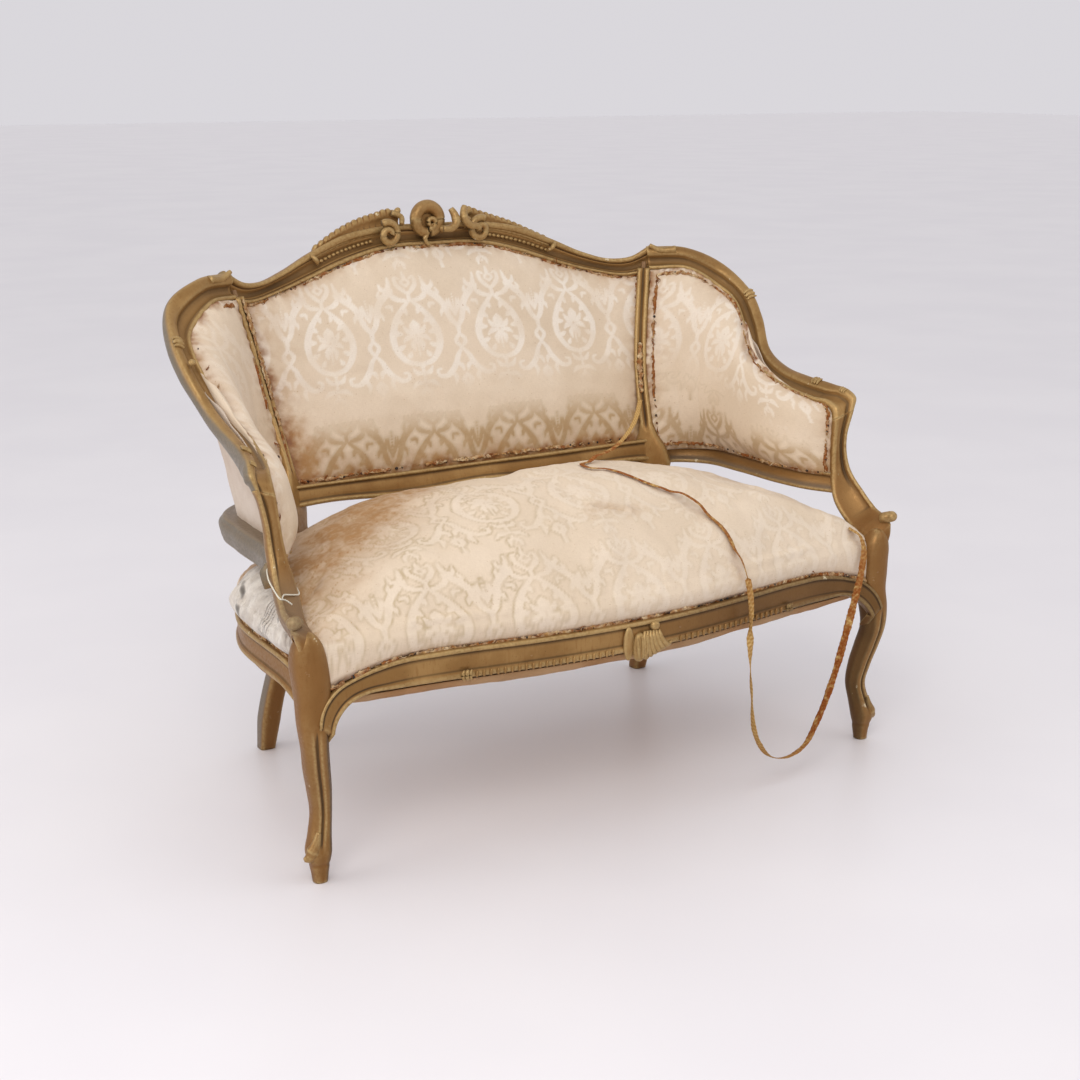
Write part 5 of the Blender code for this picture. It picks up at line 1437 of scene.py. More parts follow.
def settled(grid, normal, pad):
    """How far a nailed-down cover swells and wrinkles, from a cloth simulation on the coarse points."""
    coarse, way = grid[::COARSE, ::COARSE], normal[::COARSE, ::COARSE]
    rows, columns = coarse.shape[:2]
    data = make_mesh("trial", coarse.reshape(-1, 3), grid_faces(rows, columns), False, way.mean(axis=(0, 1)))
    trial = bpy.data.objects.new("trial", data)
    bpy.context.scene.collection.objects.link(trial)
    held = trial.vertex_groups.new(name="held")
    held.add([int(k) for k in edge_loop(rows, columns)], 1.0, "REPLACE")
    cloth = trial.modifiers.new("cloth", "CLOTH")
    cloth.settings.vertex_group_mass = "held"
    cloth.settings.use_pressure = True
    cloth.settings.uniform_pressure_force = SETTLE_PRESSURE[pad]
    cloth.settings.effector_weights.gravity = 0.0
    cloth.settings.shrink_min = SETTLE_SHRINK
    cloth.settings.quality = 4
    cloth.settings.bending_stiffness = 0.2
    cloth.point_cache.frame_end = SETTLE_FRAMES
    for step in range(SETTLE_FRAMES):
        bpy.context.scene.frame_set(step + 1)
    graph = bpy.context.evaluated_depsgraph_get()
    moved = points_of(trial.evaluated_get(graph).data).reshape(rows, columns, 3) - coarse
    bpy.data.objects.remove(trial, do_unlink=True)
    bpy.context.scene.frame_set(1)
    cap = SETTLE_CAP[pad]
    rise = cap * np.tanh(np.einsum("ijk,ijk->ij", moved, way) / cap)
    fine_rows, fine_columns = (np.arange(count) / COARSE for count in grid.shape[:2])
    rise = np.stack([np.interp(fine_columns, np.arange(columns), row) for row in rise])
    return np.stack([np.interp(fine_rows, np.arange(rows), column) for column in rise.T], axis=1)


def puckered(grid, period, depth, reach):
    """Small folds that run in from a nailed edge, and how near each point is to it."""
    x, y = arc_grid(grid)
    left, right = x - x[:, :1], x[:, -1:] - x
    low, high = y, y[-1:] - y
    near = np.minimum(np.minimum(left, right), np.minimum(low, high))
    run = np.where(np.minimum(left, right) < np.minimum(low, high), y, x)
    fold = np.cos(2 * math.pi * run / period + 2.2 * wobble(grid, 0.09, 5))
    return depth * fold * np.exp(-near / reach), near


def damask_pad(name, grid, normal, height, thick, finish_values, slot_nodes):
    """A stuffed pad: the grid raised by its height, closed behind, with the woven figure and its soiling."""
    front = grid + height[..., None] * normal
    data = closed_pad(name, front, (grid - thick * normal)[::COARSE, ::COARSE])
    rest = len(data.vertices) - front[..., 0].size
    for key, values in finish_values.items():
        store(data, key, np.concatenate([np.asarray(values).ravel(), np.zeros(rest)]))
    x, y = arc_grid(front)
    store_uv(data, np.concatenate([x.ravel(), np.zeros(rest)]), np.concatenate([y.ravel(), np.zeros(rest)]))
    piece = add_piece(name, data, finish_of("damask"), slot_nodes)
    return front


def soiling(points, near, seed):
    """Stains and rust that gather along the nailed edges."""
    patch, small = wobble(points, 0.10, seed), wobble(points, 0.028, seed + 1)
    band = np.exp(-near / 0.014) * np.clip(0.55 + 0.6 * patch + 0.3 * small, 0, 1)
    return band, np.exp(-near / 0.006) * np.clip(0.35 + 0.9 * small, 0, 1)


def blot(points, centre, size, seed, ragged=0.45):
    """A ragged stain round a point, from 0 to 1."""
    far = np.linalg.norm((points - np.asarray(centre)) / np.asarray(size), axis=-1)
    return np.clip(1.25 - far + ragged * wobble(points, 0.06, seed), 0, 1)


BACK_SHIFT = 0.5
ARM_SHIFT = (0.3, 0.2)


def make_back_pad():
    """The back's pad: a figure painted dark low down and light higher up as a painted sheen, and rust down
    the left side.
    """
    rows, columns = 169, 329
    grid, normal = back_panel(rows, columns)
    swell = settled(grid, normal, "back")
    fold, near = puckered(grid, 0.026, 0.0018, 0.016)
    height = bpy.context.scene.sofa_sizes.back_crown * crown(rows, columns) - PAD_RECESS + fold
    height += swell + 0.0022 * wobble(grid, 0.16, 21) * np.clip(near / 0.05, 0, 1)
    x, y = arc_grid(grid)
    figure, line = damask(x / TILE + BACK_SHIFT, y / RISE)
    stain, rust = soiling(grid, near, 31)
    up = (grid[..., 2] - 0.50) / 0.36
    # Painted sheen: the figure is painted darker low on the back and lighter higher up.
    flip = np.clip((up - 0.33) * 6.0, -1, 1)
    figure *= np.clip(0.74 + 0.35 * wobble(grid, 0.10, 35), 0.3, 1) ** (flip > 0)
    left = np.clip((-0.22 - grid[..., 0]) / 0.16, 0, 1)
    ragged = np.clip(0.75 + 0.6 * wobble(grid, 0.045, 34), 0, 1.2)
    side_near = grid[..., 0] - grid[:, :1, 0]
    side_rust = np.exp(-((side_near - 0.020) / 0.013) ** 2) * np.clip(1.15 - up, 0, 1)
    low_rust = 0.6 * (up < 0.3) * np.exp(-((near - 0.010) / 0.007) ** 2)
    rust = np.clip(rust + ragged * np.maximum(side_rust, low_rust), 0, 1)
    stain += ragged * (0.9 * np.exp(-side_near / 0.026) * np.clip(1.2 - up, 0, 1)
                       + 0.2 * left * np.exp(-near / 0.08) + 0.9 * (up < 0.35) * np.exp(-near / 0.018))
    stain += 0.30 * np.clip(0.42 - up, 0, 1)
    stain += 0.45 * blot(grid, (-0.36, 0.20, 0.56), (0.05, 0.1, 0.05), 33)
    values = {"figure": figure, "flip": flip * 0.95, "line": 0.45 * line * (flip < -0.3),
              "stain": np.clip(stain, 0, 1), "rust": rust}
    front = damask_pad("back_pad_cover", grid, normal, height, 0.010, values, ("back_pad",))
    return front, normal


def make_arm_pads():
    """Both arms' pads, the right one with the bolder figure."""
    rows, columns = 145, 161
    grid, normal = arm_panel(rows, columns)
    fold, near = puckered(grid, 0.026, 0.0018, 0.016)
    swell = settled(grid, normal, "arm")
    height = bpy.context.scene.sofa_sizes.arm_crown * crown(rows, columns) - PAD_RECESS + fold + swell
    x, y = arc_grid(grid)
    up = np.linspace(0, 1, rows)[:, None] * np.ones((1, columns))
    # Painted sheen: the figure is painted darker low on the arms and lighter higher up.
    flip = np.clip((up - 0.42) * 5.0, -1, 1)
    fronts = []
    for side, name, bold in ((1, "right", 0.72), (-1, "left", 0.30)):
        here, way = grid * (side, 1, 1), normal * (side, 1, 1)
        figure, line = damask(side * x / TILE + ARM_SHIFT[0], y / RISE + ARM_SHIFT[1])
        stain, rust = soiling(here, near, 41 + side)
        values = {"figure": bold * figure * np.where(flip < 0, 1.2, 1.0), "flip": flip * 0.85,
                  "line": 0.3 * line * (flip < 0), "rust": rust,
                  "stain": np.clip(stain + 0.18 * np.clip(0.35 - up, 0, 1), 0, 1)}
        front = damask_pad("arm_pad_cover_" + name, here, way, height, 0.008, values,
                           ("arm_pad_" + name,))
        fronts.append((front, way))
    return fronts


SEAT_CORNERS = ((-0.545, -0.292), (0.545, -0.292), (0.372, 0.165), (-0.372, 0.165))


def seat_grid(rows, columns):
    """Plan points of the seat cover from its four border curves, each with its share of the way out."""
    border = seat_outline(1600)
    turn = np.arctan2(*(border - SEAT_CENTRE).T[::-1])
    corners = [nearest(border, corner) for corner in SEAT_CORNERS]

    def run(start, end, count):
        way = (end - start) % len(border)
        if way > len(border) / 2:
            return run(end, start, count)[::-1]
        path = border[(start + np.arange(way + 1)) % len(border)]
        long = runs(path)
        return at_runs(eased(count) * long[-1], long, path)

    front, rear = run(corners[0], corners[1], columns), run(corners[3], corners[2], columns)
    left, right = run(corners[0], corners[3], rows), run(corners[1], corners[2], rows)
    s, t = eased(columns)[None, :, None], eased(rows)[:, None, None]
    plan = ((1 - t) * front[None] + t * rear[None] + (1 - s) * left[:, None] + s * right[:, None]
            - (1 - s) * (1 - t) * front[0] - s * (1 - t) * front[-1] - (1 - s) * t * rear[0]
            - s * t * rear[-1])
    far = np.linalg.norm(border - SEAT_CENTRE, axis=1)
    order = np.argsort(turn)
    away = plan - SEAT_CENTRE
    reach = np.interp(np.arctan2(away[..., 1], away[..., 0]), turn[order], far[order], period=2 * math.pi)
    return plan, np.clip(np.linalg.norm(away, axis=-1) / reach, 0, 1)


def canvas_height(share):
    """Height of the canvas over the springs by share of the way out."""
    return RAIL_TOP + 0.0026 + CANVAS_CROWN * np.clip(1 - share ** 2, 0, 1) ** 0.6


def canvas_lid(share):
    """The canvas's height where it is drawn straight from ring to ring."""
    return np.interp(share, CANVAS_RINGS, canvas_height(np.array(CANVAS_RINGS)))


SKIRT = ((0.004, 0.6), (0.010, 0.95), (0.017, 1.0), (0.025, 0.8), (0.032, 0.45), (0.0385, 0.1))
SKIRT_STAIN = (0.0, 0.0, 0.0, 0.05, 0.3, 1.0)
# The seat's figure is painted lighter than its ground: a painted sheen.
SEAT_SHEEN_FLIP = 0.8
SLIT = ((0.000, -0.215), (0.060, -0.232))
CREASE = ((0.072, -0.222), (0.110, -0.232))


def seat_skirt(edge, out):
    """Rings of the cover down to the rail, which sweep down with it at the front corners, and their drops."""
    fold = np.cos(2 * math.pi * runs(edge) / 0.030 + 2.0 * wobble(edge, 0.09, 5))
    _, fillet = front_rail_edges(801)
    sweep = np.where(edge[:, 1] < -0.24, RAIL_TOP - np.interp(edge[:, 0], fillet[:, 0], fillet[:, 2]), 0.0)
    sweep = np.clip(sweep, 0, 0.034) * np.clip(-1.8 * out[:, 1] - 0.5, 0, 1)
    rings, drops = [], []
    for drop, swells in SKIRT:
        lower = sweep * (drop / SKIRT[-1][0]) ** 1.5
        ring = edge + out * (SEAT_SWELL * swells + 0.0005 * fold * swells + 0.35 * lower)[:, None]
        ring[:, 2] -= drop + lower
        rings.append(ring)
        drops.append(drop + lower)
    return rings, np.array(drops)


def seat_values(grid, y):
    """The seat's figure, faint to the right and in outline to the left, and its stain at the rear left."""
    x_left, depth = -grid[..., 0], grid[..., 1]
    figure, line = damask(grid[..., 0] / TILE, y / RISE)
    rear_left = np.clip((depth + 0.184 + 0.76 * (x_left - 0.404) + 0.075) / 0.16, 0, 1)
    rear_left *= np.clip((x_left - 0.10) / 0.10, 0, 1)
    side = np.clip((x_left - 0.445) / 0.05, 0, 1) * np.clip((depth + 0.235) / 0.05, 0, 1)
    rear_left = np.maximum(rear_left, 0.8 * side)
    stain = 0.92 * rear_left ** 1.3 * (0.80 + 0.30 * wobble(grid, 0.11, 64))
    stain += 0.25 * blot(grid, (0.03, -0.225, 0.5), (0.06, 0.02, 0.2), 66)
    seen = np.clip(0.30 + 1.2 * np.clip(x_left / 0.3, 0, 1) * (0.75 + 0.3 * wobble(grid, 0.2, 67)), 0, 1)
    crack = np.clip(1.0 - np.abs(wobble(grid, 0.040, 69)) / 0.09, 0, 1) * rear_left
    broken = np.clip(0.45 + 1.1 * wobble(grid, 0.035, 70), 0, 1)
    values = {"figure": figure * (0.28 - 0.06 * seen), "flip": np.full(y.shape, SEAT_SHEEN_FLIP),
              "line": np.maximum(line * seen * (0.45 + 0.55 * broken), 0.8 * crack),
              "stain": np.clip(stain + 0.5 * crack, 0, 1), "rust": np.zeros(y.shape)}
    return values, seen


def make_seat_pad():
    """The seat's pad: a crowned top, a skirt down to the rails and a base over the canvas."""
    rows, columns = 189, 401
    plan, share = seat_grid(rows, columns)
    grid = np.concatenate([plan, cover_height(share)[..., None]], axis=2)
    normal = normals_across(grid)
    normal *= np.sign(normal[..., 2:].mean())
    swell = settled(grid, normal, "seat")
    fold, near = puckered(grid, 0.034, 0.0010, 0.030)
    lumps = 0.0045 * wobble(grid, 0.22, 51) + 0.0010 * wobble(grid, 0.07, 52)
    height = fold + swell + lumps * np.clip(near / 0.06, 0, 1)
    for (start, end), depth in ((np.array(SLIT), 0.008), (np.array(CREASE), 0.003)):
        way = end - start
        t = np.clip(((plan - start) @ way) / (way @ way), 0, 1)
        off = np.linalg.norm(plan - start - t[..., None] * way, axis=-1)
        height -= depth * np.exp(-(off / 0.0035) ** 2) * np.sin(math.pi * np.clip(t, 0.02, 0.98)) ** 0.5
        height += 0.35 * depth * np.exp(-((off - 0.007) / 0.005) ** 2)
    top = grid + height[..., None] * normal
    loop = edge_loop(rows, columns)
    edge = grid.reshape(-1, 3)[loop]
    top.reshape(-1, 3)[loop] = edge
    step = np.roll(edge, -1, axis=0) - np.roll(edge, 1, axis=0)
    out = unit(np.stack([step[:, 1], -step[:, 0], np.zeros(len(edge))], axis=1))
    rings, drops = seat_skirt(edge, out)
    for s in (0.94, 0.8, 0.6, 0.4, 0.2):
        ring = edge.copy()
        ring[:, :2] = SEAT_CENTRE + s * (edge[:, :2] - SEAT_CENTRE)
        ring[:, 2] = canvas_height(s) + 0.0032
        rings.append(ring)
    points = [top.reshape(-1, 3)] + rings + [np.array([[*SEAT_CENTRE, canvas_height(0.0) + 0.0032]])]
    first = rows * columns
    faces = [list(face) for face in grid_faces(rows, columns)]
    last = loop
    for k in range(len(rings)):
        here = first + k * len(loop) + np.arange(len(loop))
        faces += np.stack([np.roll(last, -1), last, here, np.roll(here, -1)], axis=1).tolist()
        last = here
    centre = first + len(rings) * len(loop)
    faces += [[int(last[(k + 1) % len(last)]), int(last[k]), centre] for k in range(len(last))]
    data = make_mesh("seat_pad_cover", np.concatenate(points), faces)
    _, y = arc_grid(grid)
    values, seen = seat_values(grid, y)
    frayed = np.clip(0.35 + 0.7 * wobble(edge, 0.05, 68), 0, 1)
    down = np.array(SKIRT_STAIN)[:, None]
    wrap, wrap_line = damask(np.tile(edge[:, 0] / TILE, (len(SKIRT), 1)), (y.ravel()[loop] - drops) / RISE)
    bold = seen.ravel()[loop]
    skirt = {"stain": 0.6 * down * np.ones(len(edge)), "rust": 0.9 * down ** 2 * frayed,
             "figure": wrap * (0.28 - 0.06 * bold), "flip": np.full(wrap.shape, SEAT_SHEEN_FLIP),
             "line": 0.6 * wrap_line * bold}
    under = np.zeros(len(data.vertices) - first - wrap.size)
    for key, value in values.items():
        store(data, key, np.concatenate([value.ravel(), skirt[key].ravel(), under]))
    tail_u = np.concatenate([np.tile(runs(edge), len(rings)), [0.0]])
    tail_v = np.concatenate([np.repeat(np.arange(len(rings)) * -0.006, len(loop)), [0.0]])
    store_uv(data, np.concatenate([plan[..., 0].ravel(), tail_u]), np.concatenate([y.ravel(), tail_v]))
    piece = add_piece("seat_pad_cover", data, finish_of("damask"), ("seat_pad",))
    return rings[len(SKIRT) - 1], out


def stretched_sheet(name, front, back, finish, nodes, stain=None):
    """A thin closed cloth between two grids."""
    data = closed_sheet(name, front, back)
    x, y = arc_grid(front)
    store_uv(data, np.concatenate([x.ravel(), x.ravel()]), np.concatenate([y.ravel(), y.ravel()]))
    if stain is not None:
        store(data, "stain", np.concatenate([stain.ravel(), stain.ravel()]))
    steps = np.cross(np.diff(front, axis=0)[:, :-1], np.diff(front, axis=1)[:-1])
    area = float(np.linalg.norm(steps, axis=-1).sum())
    piece = add_piece(name, data, finish_of(finish), nodes)
    return piece


def closed_sheet(name, front, back):
    """A closed sheet between two grids."""
    rows, columns = front.shape[:2]
    count = rows * columns
    faces = [list(face) for face in grid_faces(rows, columns)]
    faces += [list(face[::-1]) for face in grid_faces(rows, columns, first=count)]
    loop = edge_loop(rows, columns)
    faces += np.stack([np.roll(loop, -1), loop, count + loop, count + np.roll(loop, -1)], axis=1).tolist()
    return make_mesh(name, np.concatenate([front.reshape(-1, 3), back.reshape(-1, 3)]), faces)


def make_outside_covers():
    """The cloth outside the back and arms, and the canvas behind the back's pad."""
    rows, columns = 61, 111
    grid, normal = back_panel(rows, columns)
    fold, near = puckered(grid, 0.03, 0.0012, 0.02)
    sag = 0.004 * wobble(grid, 0.3, 71) * np.clip(near / 0.05, 0, 1)
    depth = BACK_COVER_SET_BACK + LINING_THICKNESS + 0.5 * np.maximum(fold + sag, COVER_DIP)
    outer = grid - depth[..., None] * normal
    stretched_sheet("outside_back_cloth", outer + LINING_THICKNESS * normal, outer, "lining",
                    ("outside_back_cover",), soiling(grid, near, 72)[0])
    canvas = grid - 0.0185 * normal
    stretched_sheet("back_canvas_cloth", canvas, canvas - CANVAS_THICKNESS * normal, "canvas",
                    ("back_canvas",))
    rows, columns = 73, 89
    grid, normal = arm_panel(rows, columns)
    fold, near = puckered(grid, 0.028, 0.0014, 0.02)
    for side, name in ((1, "right"), (-1, "left")):
        here, way = grid * (side, 1, 1), normal * (side, 1, 1)
        sag = 0.003 * wobble(here, 0.2, 73) * np.clip(near / 0.05, 0, 1)
        depth = ARM_COVER_SET_BACK + LINING_THICKNESS + 0.5 * np.maximum(fold + sag, COVER_DIP)
        outer = here - depth[..., None] * way
        outer, way = outer[:-4], way[:-4]
        stretched_sheet("outside_arm_cloth_" + name, outer + LINING_THICKNESS * way, outer, "lining",
                        ("outside_arm_cover_" + name,),
                        soiling(here, near, 74)[0][:-4])


# Inside and under the seat

def make_seat_insides():
    """Canvas over the springs, webbing under them, and the springs."""
    plan, share = seat_grid(41, 81)
    top = np.concatenate([plan, canvas_lid(share)[..., None]], axis=2)
    stretched_sheet("seat_canvas_cloth", top, top - np.array([0, 0, CANVAS_THICKNESS]), "canvas",
                    ("seat_canvas",))
    low = RAIL_TOP - RAIL_HEIGHT - 0.0006
    outline = seat_outline(800)
    straps = []
    for k, x in enumerate(SPRING_X * np.arange(-4, 5)):
        near = outline[np.abs(outline[:, 0] - x) < 0.01]
        straps.append(((x, near[:, 1].min() + 0.004), (x, near[:, 1].max() - 0.004), k))
    for k, y in enumerate(np.linspace(*SPRING_Y, 3)):
        near = outline[np.abs(outline[:, 1] - y) < 0.01]
        straps.append(((near[:, 0].min() + 0.006, y), (near[:, 0].max() - 0.006, y), k))
    meshes = []
    for number, (start, end, k) in enumerate(straps):
        line = np.linspace(start, end, 81)
        side = unit(np.array([-(line[-1] - line[0])[1], (line[-1] - line[0])[0]]))
        lengthwise = abs(side[0]) > 0.5
        crossing = line[:, 1] - SPRING_Y[0] if lengthwise else line[:, 0]
        pitch = (SPRING_Y[1] - SPRING_Y[0]) / 2 if lengthwise else SPRING_X
        wave = 0.0011 * np.cos(math.pi * (crossing / pitch + k)) * (1 if lengthwise else -1)
        across = np.linspace(-0.5, 0.5, 7) * STRAP_WIDTH
        grid = line[:, None] + across[None, :, None] * side
        z = np.broadcast_to((low - 0.0016 + wave)[:, None, None], (81, 7, 1))
        front = np.concatenate([grid, z], axis=2)
        meshes.append(closed_sheet(f"strap_{number}", front, front - np.array([0, 0, 0.0010])))
    webbing = joined(meshes, "seat_webbing_straps")
    u = points_of(webbing)
    store_uv(webbing, u[:, 0], u[:, 1])
    piece = add_piece("seat_webbing_straps", webbing, finish_of("canvas"), ("seat_webbing",))
    make_springs(outline)


def make_springs(outline):
    """Waisted coils that reach from the webbing to the canvas, each in its solid's place."""
    foot = RAIL_TOP - RAIL_HEIGHT + 0.0018
    away = outline - SEAT_CENTRE
    turn, far = np.arctan2(away[:, 1], away[:, 0]), np.linalg.norm(away, axis=1)
    order = np.argsort(turn)
    t = np.linspace(0, 1, 145)
    wind = t * SPRING_TURNS * 2 * math.pi
    radius = SPRING_WAIST + SPRING_FLARE * (2 * t - 1) ** 2
    around = np.linspace(0, 2 * math.pi, 12)
    circle = SPRING_RIM * np.stack([np.cos(around), np.sin(around)], axis=1)
    for number in range(1, 9):
        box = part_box(f"seat_spring_{number}")
        x0, y0 = ((box[0][k] + box[1][k]) / 2 for k in (0, 1))
        rim = np.array([x0, y0]) + circle - SEAT_CENTRE
        reach = np.interp(np.arctan2(rim[:, 1], rim[:, 0]), turn[order], far[order], period=2 * math.pi)
        head = canvas_lid(np.linalg.norm(rim, axis=1) / reach).min() - 0.006
        rise = foot + np.clip((t - 0.22) / 0.56, 0, 1) * (head - foot)
        line = np.stack([x0 + radius * np.cos(wind), y0 + radius * np.sin(wind), rise], axis=1)
        add_piece(f"seat_spring_wire_{number}", tube("spring", line, SPRING_WIRE, 8), finish_of("steel"),
                  (f"seat_spring_{number}",))


def make_bottom_cloth():
    """The canvas nailed under the rails, sagging and creased."""
    under = RAIL_TOP - RAIL_HEIGHT - 0.0029
    plan, share = seat_grid(81, 161)
    flat = np.concatenate([plan, np.zeros((*share.shape, 1))], axis=2)
    crease, small = wobble(flat, 0.16, 81), wobble(flat, 0.05, 82)
    belly = np.clip(1 - share ** 2, 0, 1) ** 0.45
    drop = (bpy.context.scene.sofa_sizes.bottom_sag + 0.004 * crease + 0.0012 * small) * belly
    top = np.concatenate([plan, (under - np.maximum(drop, 0))[..., None]], axis=2)
    stain = np.clip(0.35 + 0.5 * crease, 0, 1) * 0.5
    stretched_sheet("bottom_cloth_canvas", top, top - np.array([0, 0, CANVAS_THICKNESS]), "canvas",
                    ("bottom_cloth",), stain)


def paint_inner_wood():
    """Bare beech for the blocks, dowels and rear rail that stay as solids."""
    for name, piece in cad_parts.items():
        if name.startswith(("corner_block", "dowel")) or name == "rear_seat_rail":
            piece.data.materials.clear()
            piece.data.materials.append(finish_of("beech"))


# Tacks, frayed edges, wadding and string

# How much of the gimp is kept along the seat and the pads, its width there, and points in from a pad's edge
SEAT_KEPT = 0.85
PADS_KEPT = (0.75, 0.75, 0.2)
SEAT_STRIP = 0.010
PAD_STRIP = 0.009
INSET = 4


def tack_form():
    """A domed tack head one unit across on a short stem."""
    turn = np.arange(10) * 2 * math.pi / 10
    ring = np.stack([np.cos(turn), np.sin(turn), np.zeros(10)], axis=1)
    profile = ((0.10, -0.5), (0.12, -0.04), (0.44, -0.02), (0.5, 0.05), (0.42, 0.16), (0.24, 0.25),
               (0.04, 0.28))
    return loft("tack", np.array([r * ring + np.array([0, 0, z]) for r, z in profile]))


def tuft_form(seed):
    """A short tangle of torn threads, one unit long, lying along x."""
    rng = np.random.default_rng(seed)
    meshes = []
    for k in range(5):
        start = np.array([rng.uniform(-0.5, 0.1), rng.uniform(-0.12, 0.12), rng.uniform(0.0, 0.06)])
        way = np.array([rng.uniform(0.25, 0.5), rng.uniform(-0.25, 0.25), rng.uniform(-0.02, 0.16)])
        bend = np.array([0, rng.uniform(-0.2, 0.2), rng.uniform(0, 0.12)])
        line = smooth([start, start + 0.5 * way + bend, start + way], 5)
        meshes.append(tube(f"thread_{k}", line, 0.045 * np.linspace(1.0, 0.5, 5), 4, up=(0.1, 0.2, 1)))
    return joined(meshes, "tuft")


def along_edge(line, normal, pitch, seed, gaps=0.25):
    """Places at about even steps along a nailed edge, with some missing."""
    rng = np.random.default_rng(seed)
    long = runs(line)
    at = np.arange(pitch / 2, long[-1], pitch)
    at = at + rng.uniform(-0.35, 0.35, len(at)) * pitch
    at = at[rng.uniform(size=len(at)) > gaps]
    ahead = np.gradient(line, long, axis=0)
    return [at_runs(at, long, part) for part in (line, ahead, normal)]


def torn_strip(line, normal, width, seed):
    """A frayed length of gimp that stays nailed to an edge."""
    rng = np.random.default_rng(seed)
    count = len(line)
    side = unit(np.cross(normal, np.gradient(line, axis=0)))
    ends = np.sin(np.linspace(0.2, math.pi - 0.2, count)) ** 0.35
    half = 0.5 * width * ends[:, None] * rng.uniform(0.4, 1.3, (count, 2))
    turn = np.arange(8) * 2 * math.pi / 8
    wide = np.where(np.cos(turn) > 0, half[:, :1], half[:, 1:]) * np.cos(turn)
    wide = wide + 0.0016 * wobble(line, 0.02, seed)[:, None]
    high = 0.0012 * ends[:, None] * (np.sin(turn) + rng.uniform(0.6, 1.4, (count, 1)))
    rings = line[:, None] + wide[..., None] * side[:, None] + high[..., None] * normal[:, None]
    data = loft("torn_strip", rings)
    rust = np.clip(rng.uniform(0.25, 0.95) + 0.5 * wobble(points_of(data), 0.012, seed + 1), 0, 1)
    store(data, "rust", rust)
    return data


def torn_strips(edges):
    """Strips of gimp and the gaps between them along each edge, as much of it as is kept."""
    rng = np.random.default_rng(11)
    strips = []
    for line, normal, kept, width in edges:
        long = runs(line)
        at = 0.0
        while at < long[-1] - 0.02:
            end = min(at + rng.uniform(0.03, 0.11), long[-1])
            if rng.uniform() < kept:
                steps = np.linspace(at, end, max(8, int((end - at) / 0.0025)))
                path, way = (at_runs(steps, long, part) for part in (line, normal))
                strips.append(torn_strip(path, unit(way), width, 400 + len(strips)))
            at = end + rng.uniform(0.003, 0.02)
    return strips


def stile_edges():
    """Where gimp is left on the stiles: down the left one, and halfway down the right one."""
    line = smooth(STILE_LINE, 120)
    out = np.tile(np.array([-1.0, -1.0, 0.0]) / math.sqrt(2), (120, 1))
    line = line + 0.5 * STILE_DEPTH * out
    half = (line[:, 2] > 0.60) & (line[:, 2] < 0.70)
    return [(line[12:] * FLIP, out[12:] * FLIP, 1.0, 0.020), (line[half], out[half], 1.0, 0.012)]


def make_trimmings(edges, pitch):
    """Tacks and torn gimp along every nailed edge."""
    tacks, tufts = [], []
    for k, (line, normal, kept, _) in enumerate(edges):
        tacks.append(along_edge(line, normal, pitch, 100 + k, 1 - kept))
        tufts.append(along_edge(line, normal, pitch * 0.62, 200 + k, 1 - kept))
    rng = np.random.default_rng(7)
    place, ahead, normal = (np.concatenate([row[k] for row in tacks]) for k in range(3))
    size = rng.uniform(0.0040, 0.0066, len(place))[:, None] * np.ones((1, 3))
    heads = copies("edge_tacks", tack_form(), place + 0.0004 * normal, turned_to(ahead, normal), size,
                   finish_of("tack"))
    add_piece("edge_tacks", heads, finish_of("tack"))
    place, ahead, normal = (np.concatenate([row[k] for row in tufts]) for k in range(3))
    kinds = rng.integers(0, 3, len(place))
    ahead = unit(ahead) + 0.35 * rng.normal(size=ahead.shape)
    long = rng.uniform(0.011, 0.027, len(place))
    sizes = np.stack([long, long * rng.uniform(0.5, 0.9, len(place)), long * 0.6], axis=1)
    meshes = []
    for kind in range(3):
        mine = kinds == kind
        tuft = copies(f"tuft_{kind}", tuft_form(300 + kind), place[mine] + 0.0006 * normal[mine],
                      turned_to(ahead[mine], normal[mine]), sizes[mine], finish_of("thread"))
        meshes.append(tuft)
    tufts = joined(meshes, "tufts")
    store(tufts, "rust", np.clip(0.35 + 0.8 * wobble(points_of(tufts), 0.07, 9), 0, 1))
    frayed = joined([tufts] + torn_strips(edges + stile_edges()), "frayed_gimp")
    add_piece("frayed_gimp", frayed, finish_of("thread"))


WADDING_THICKNESS = 0.012


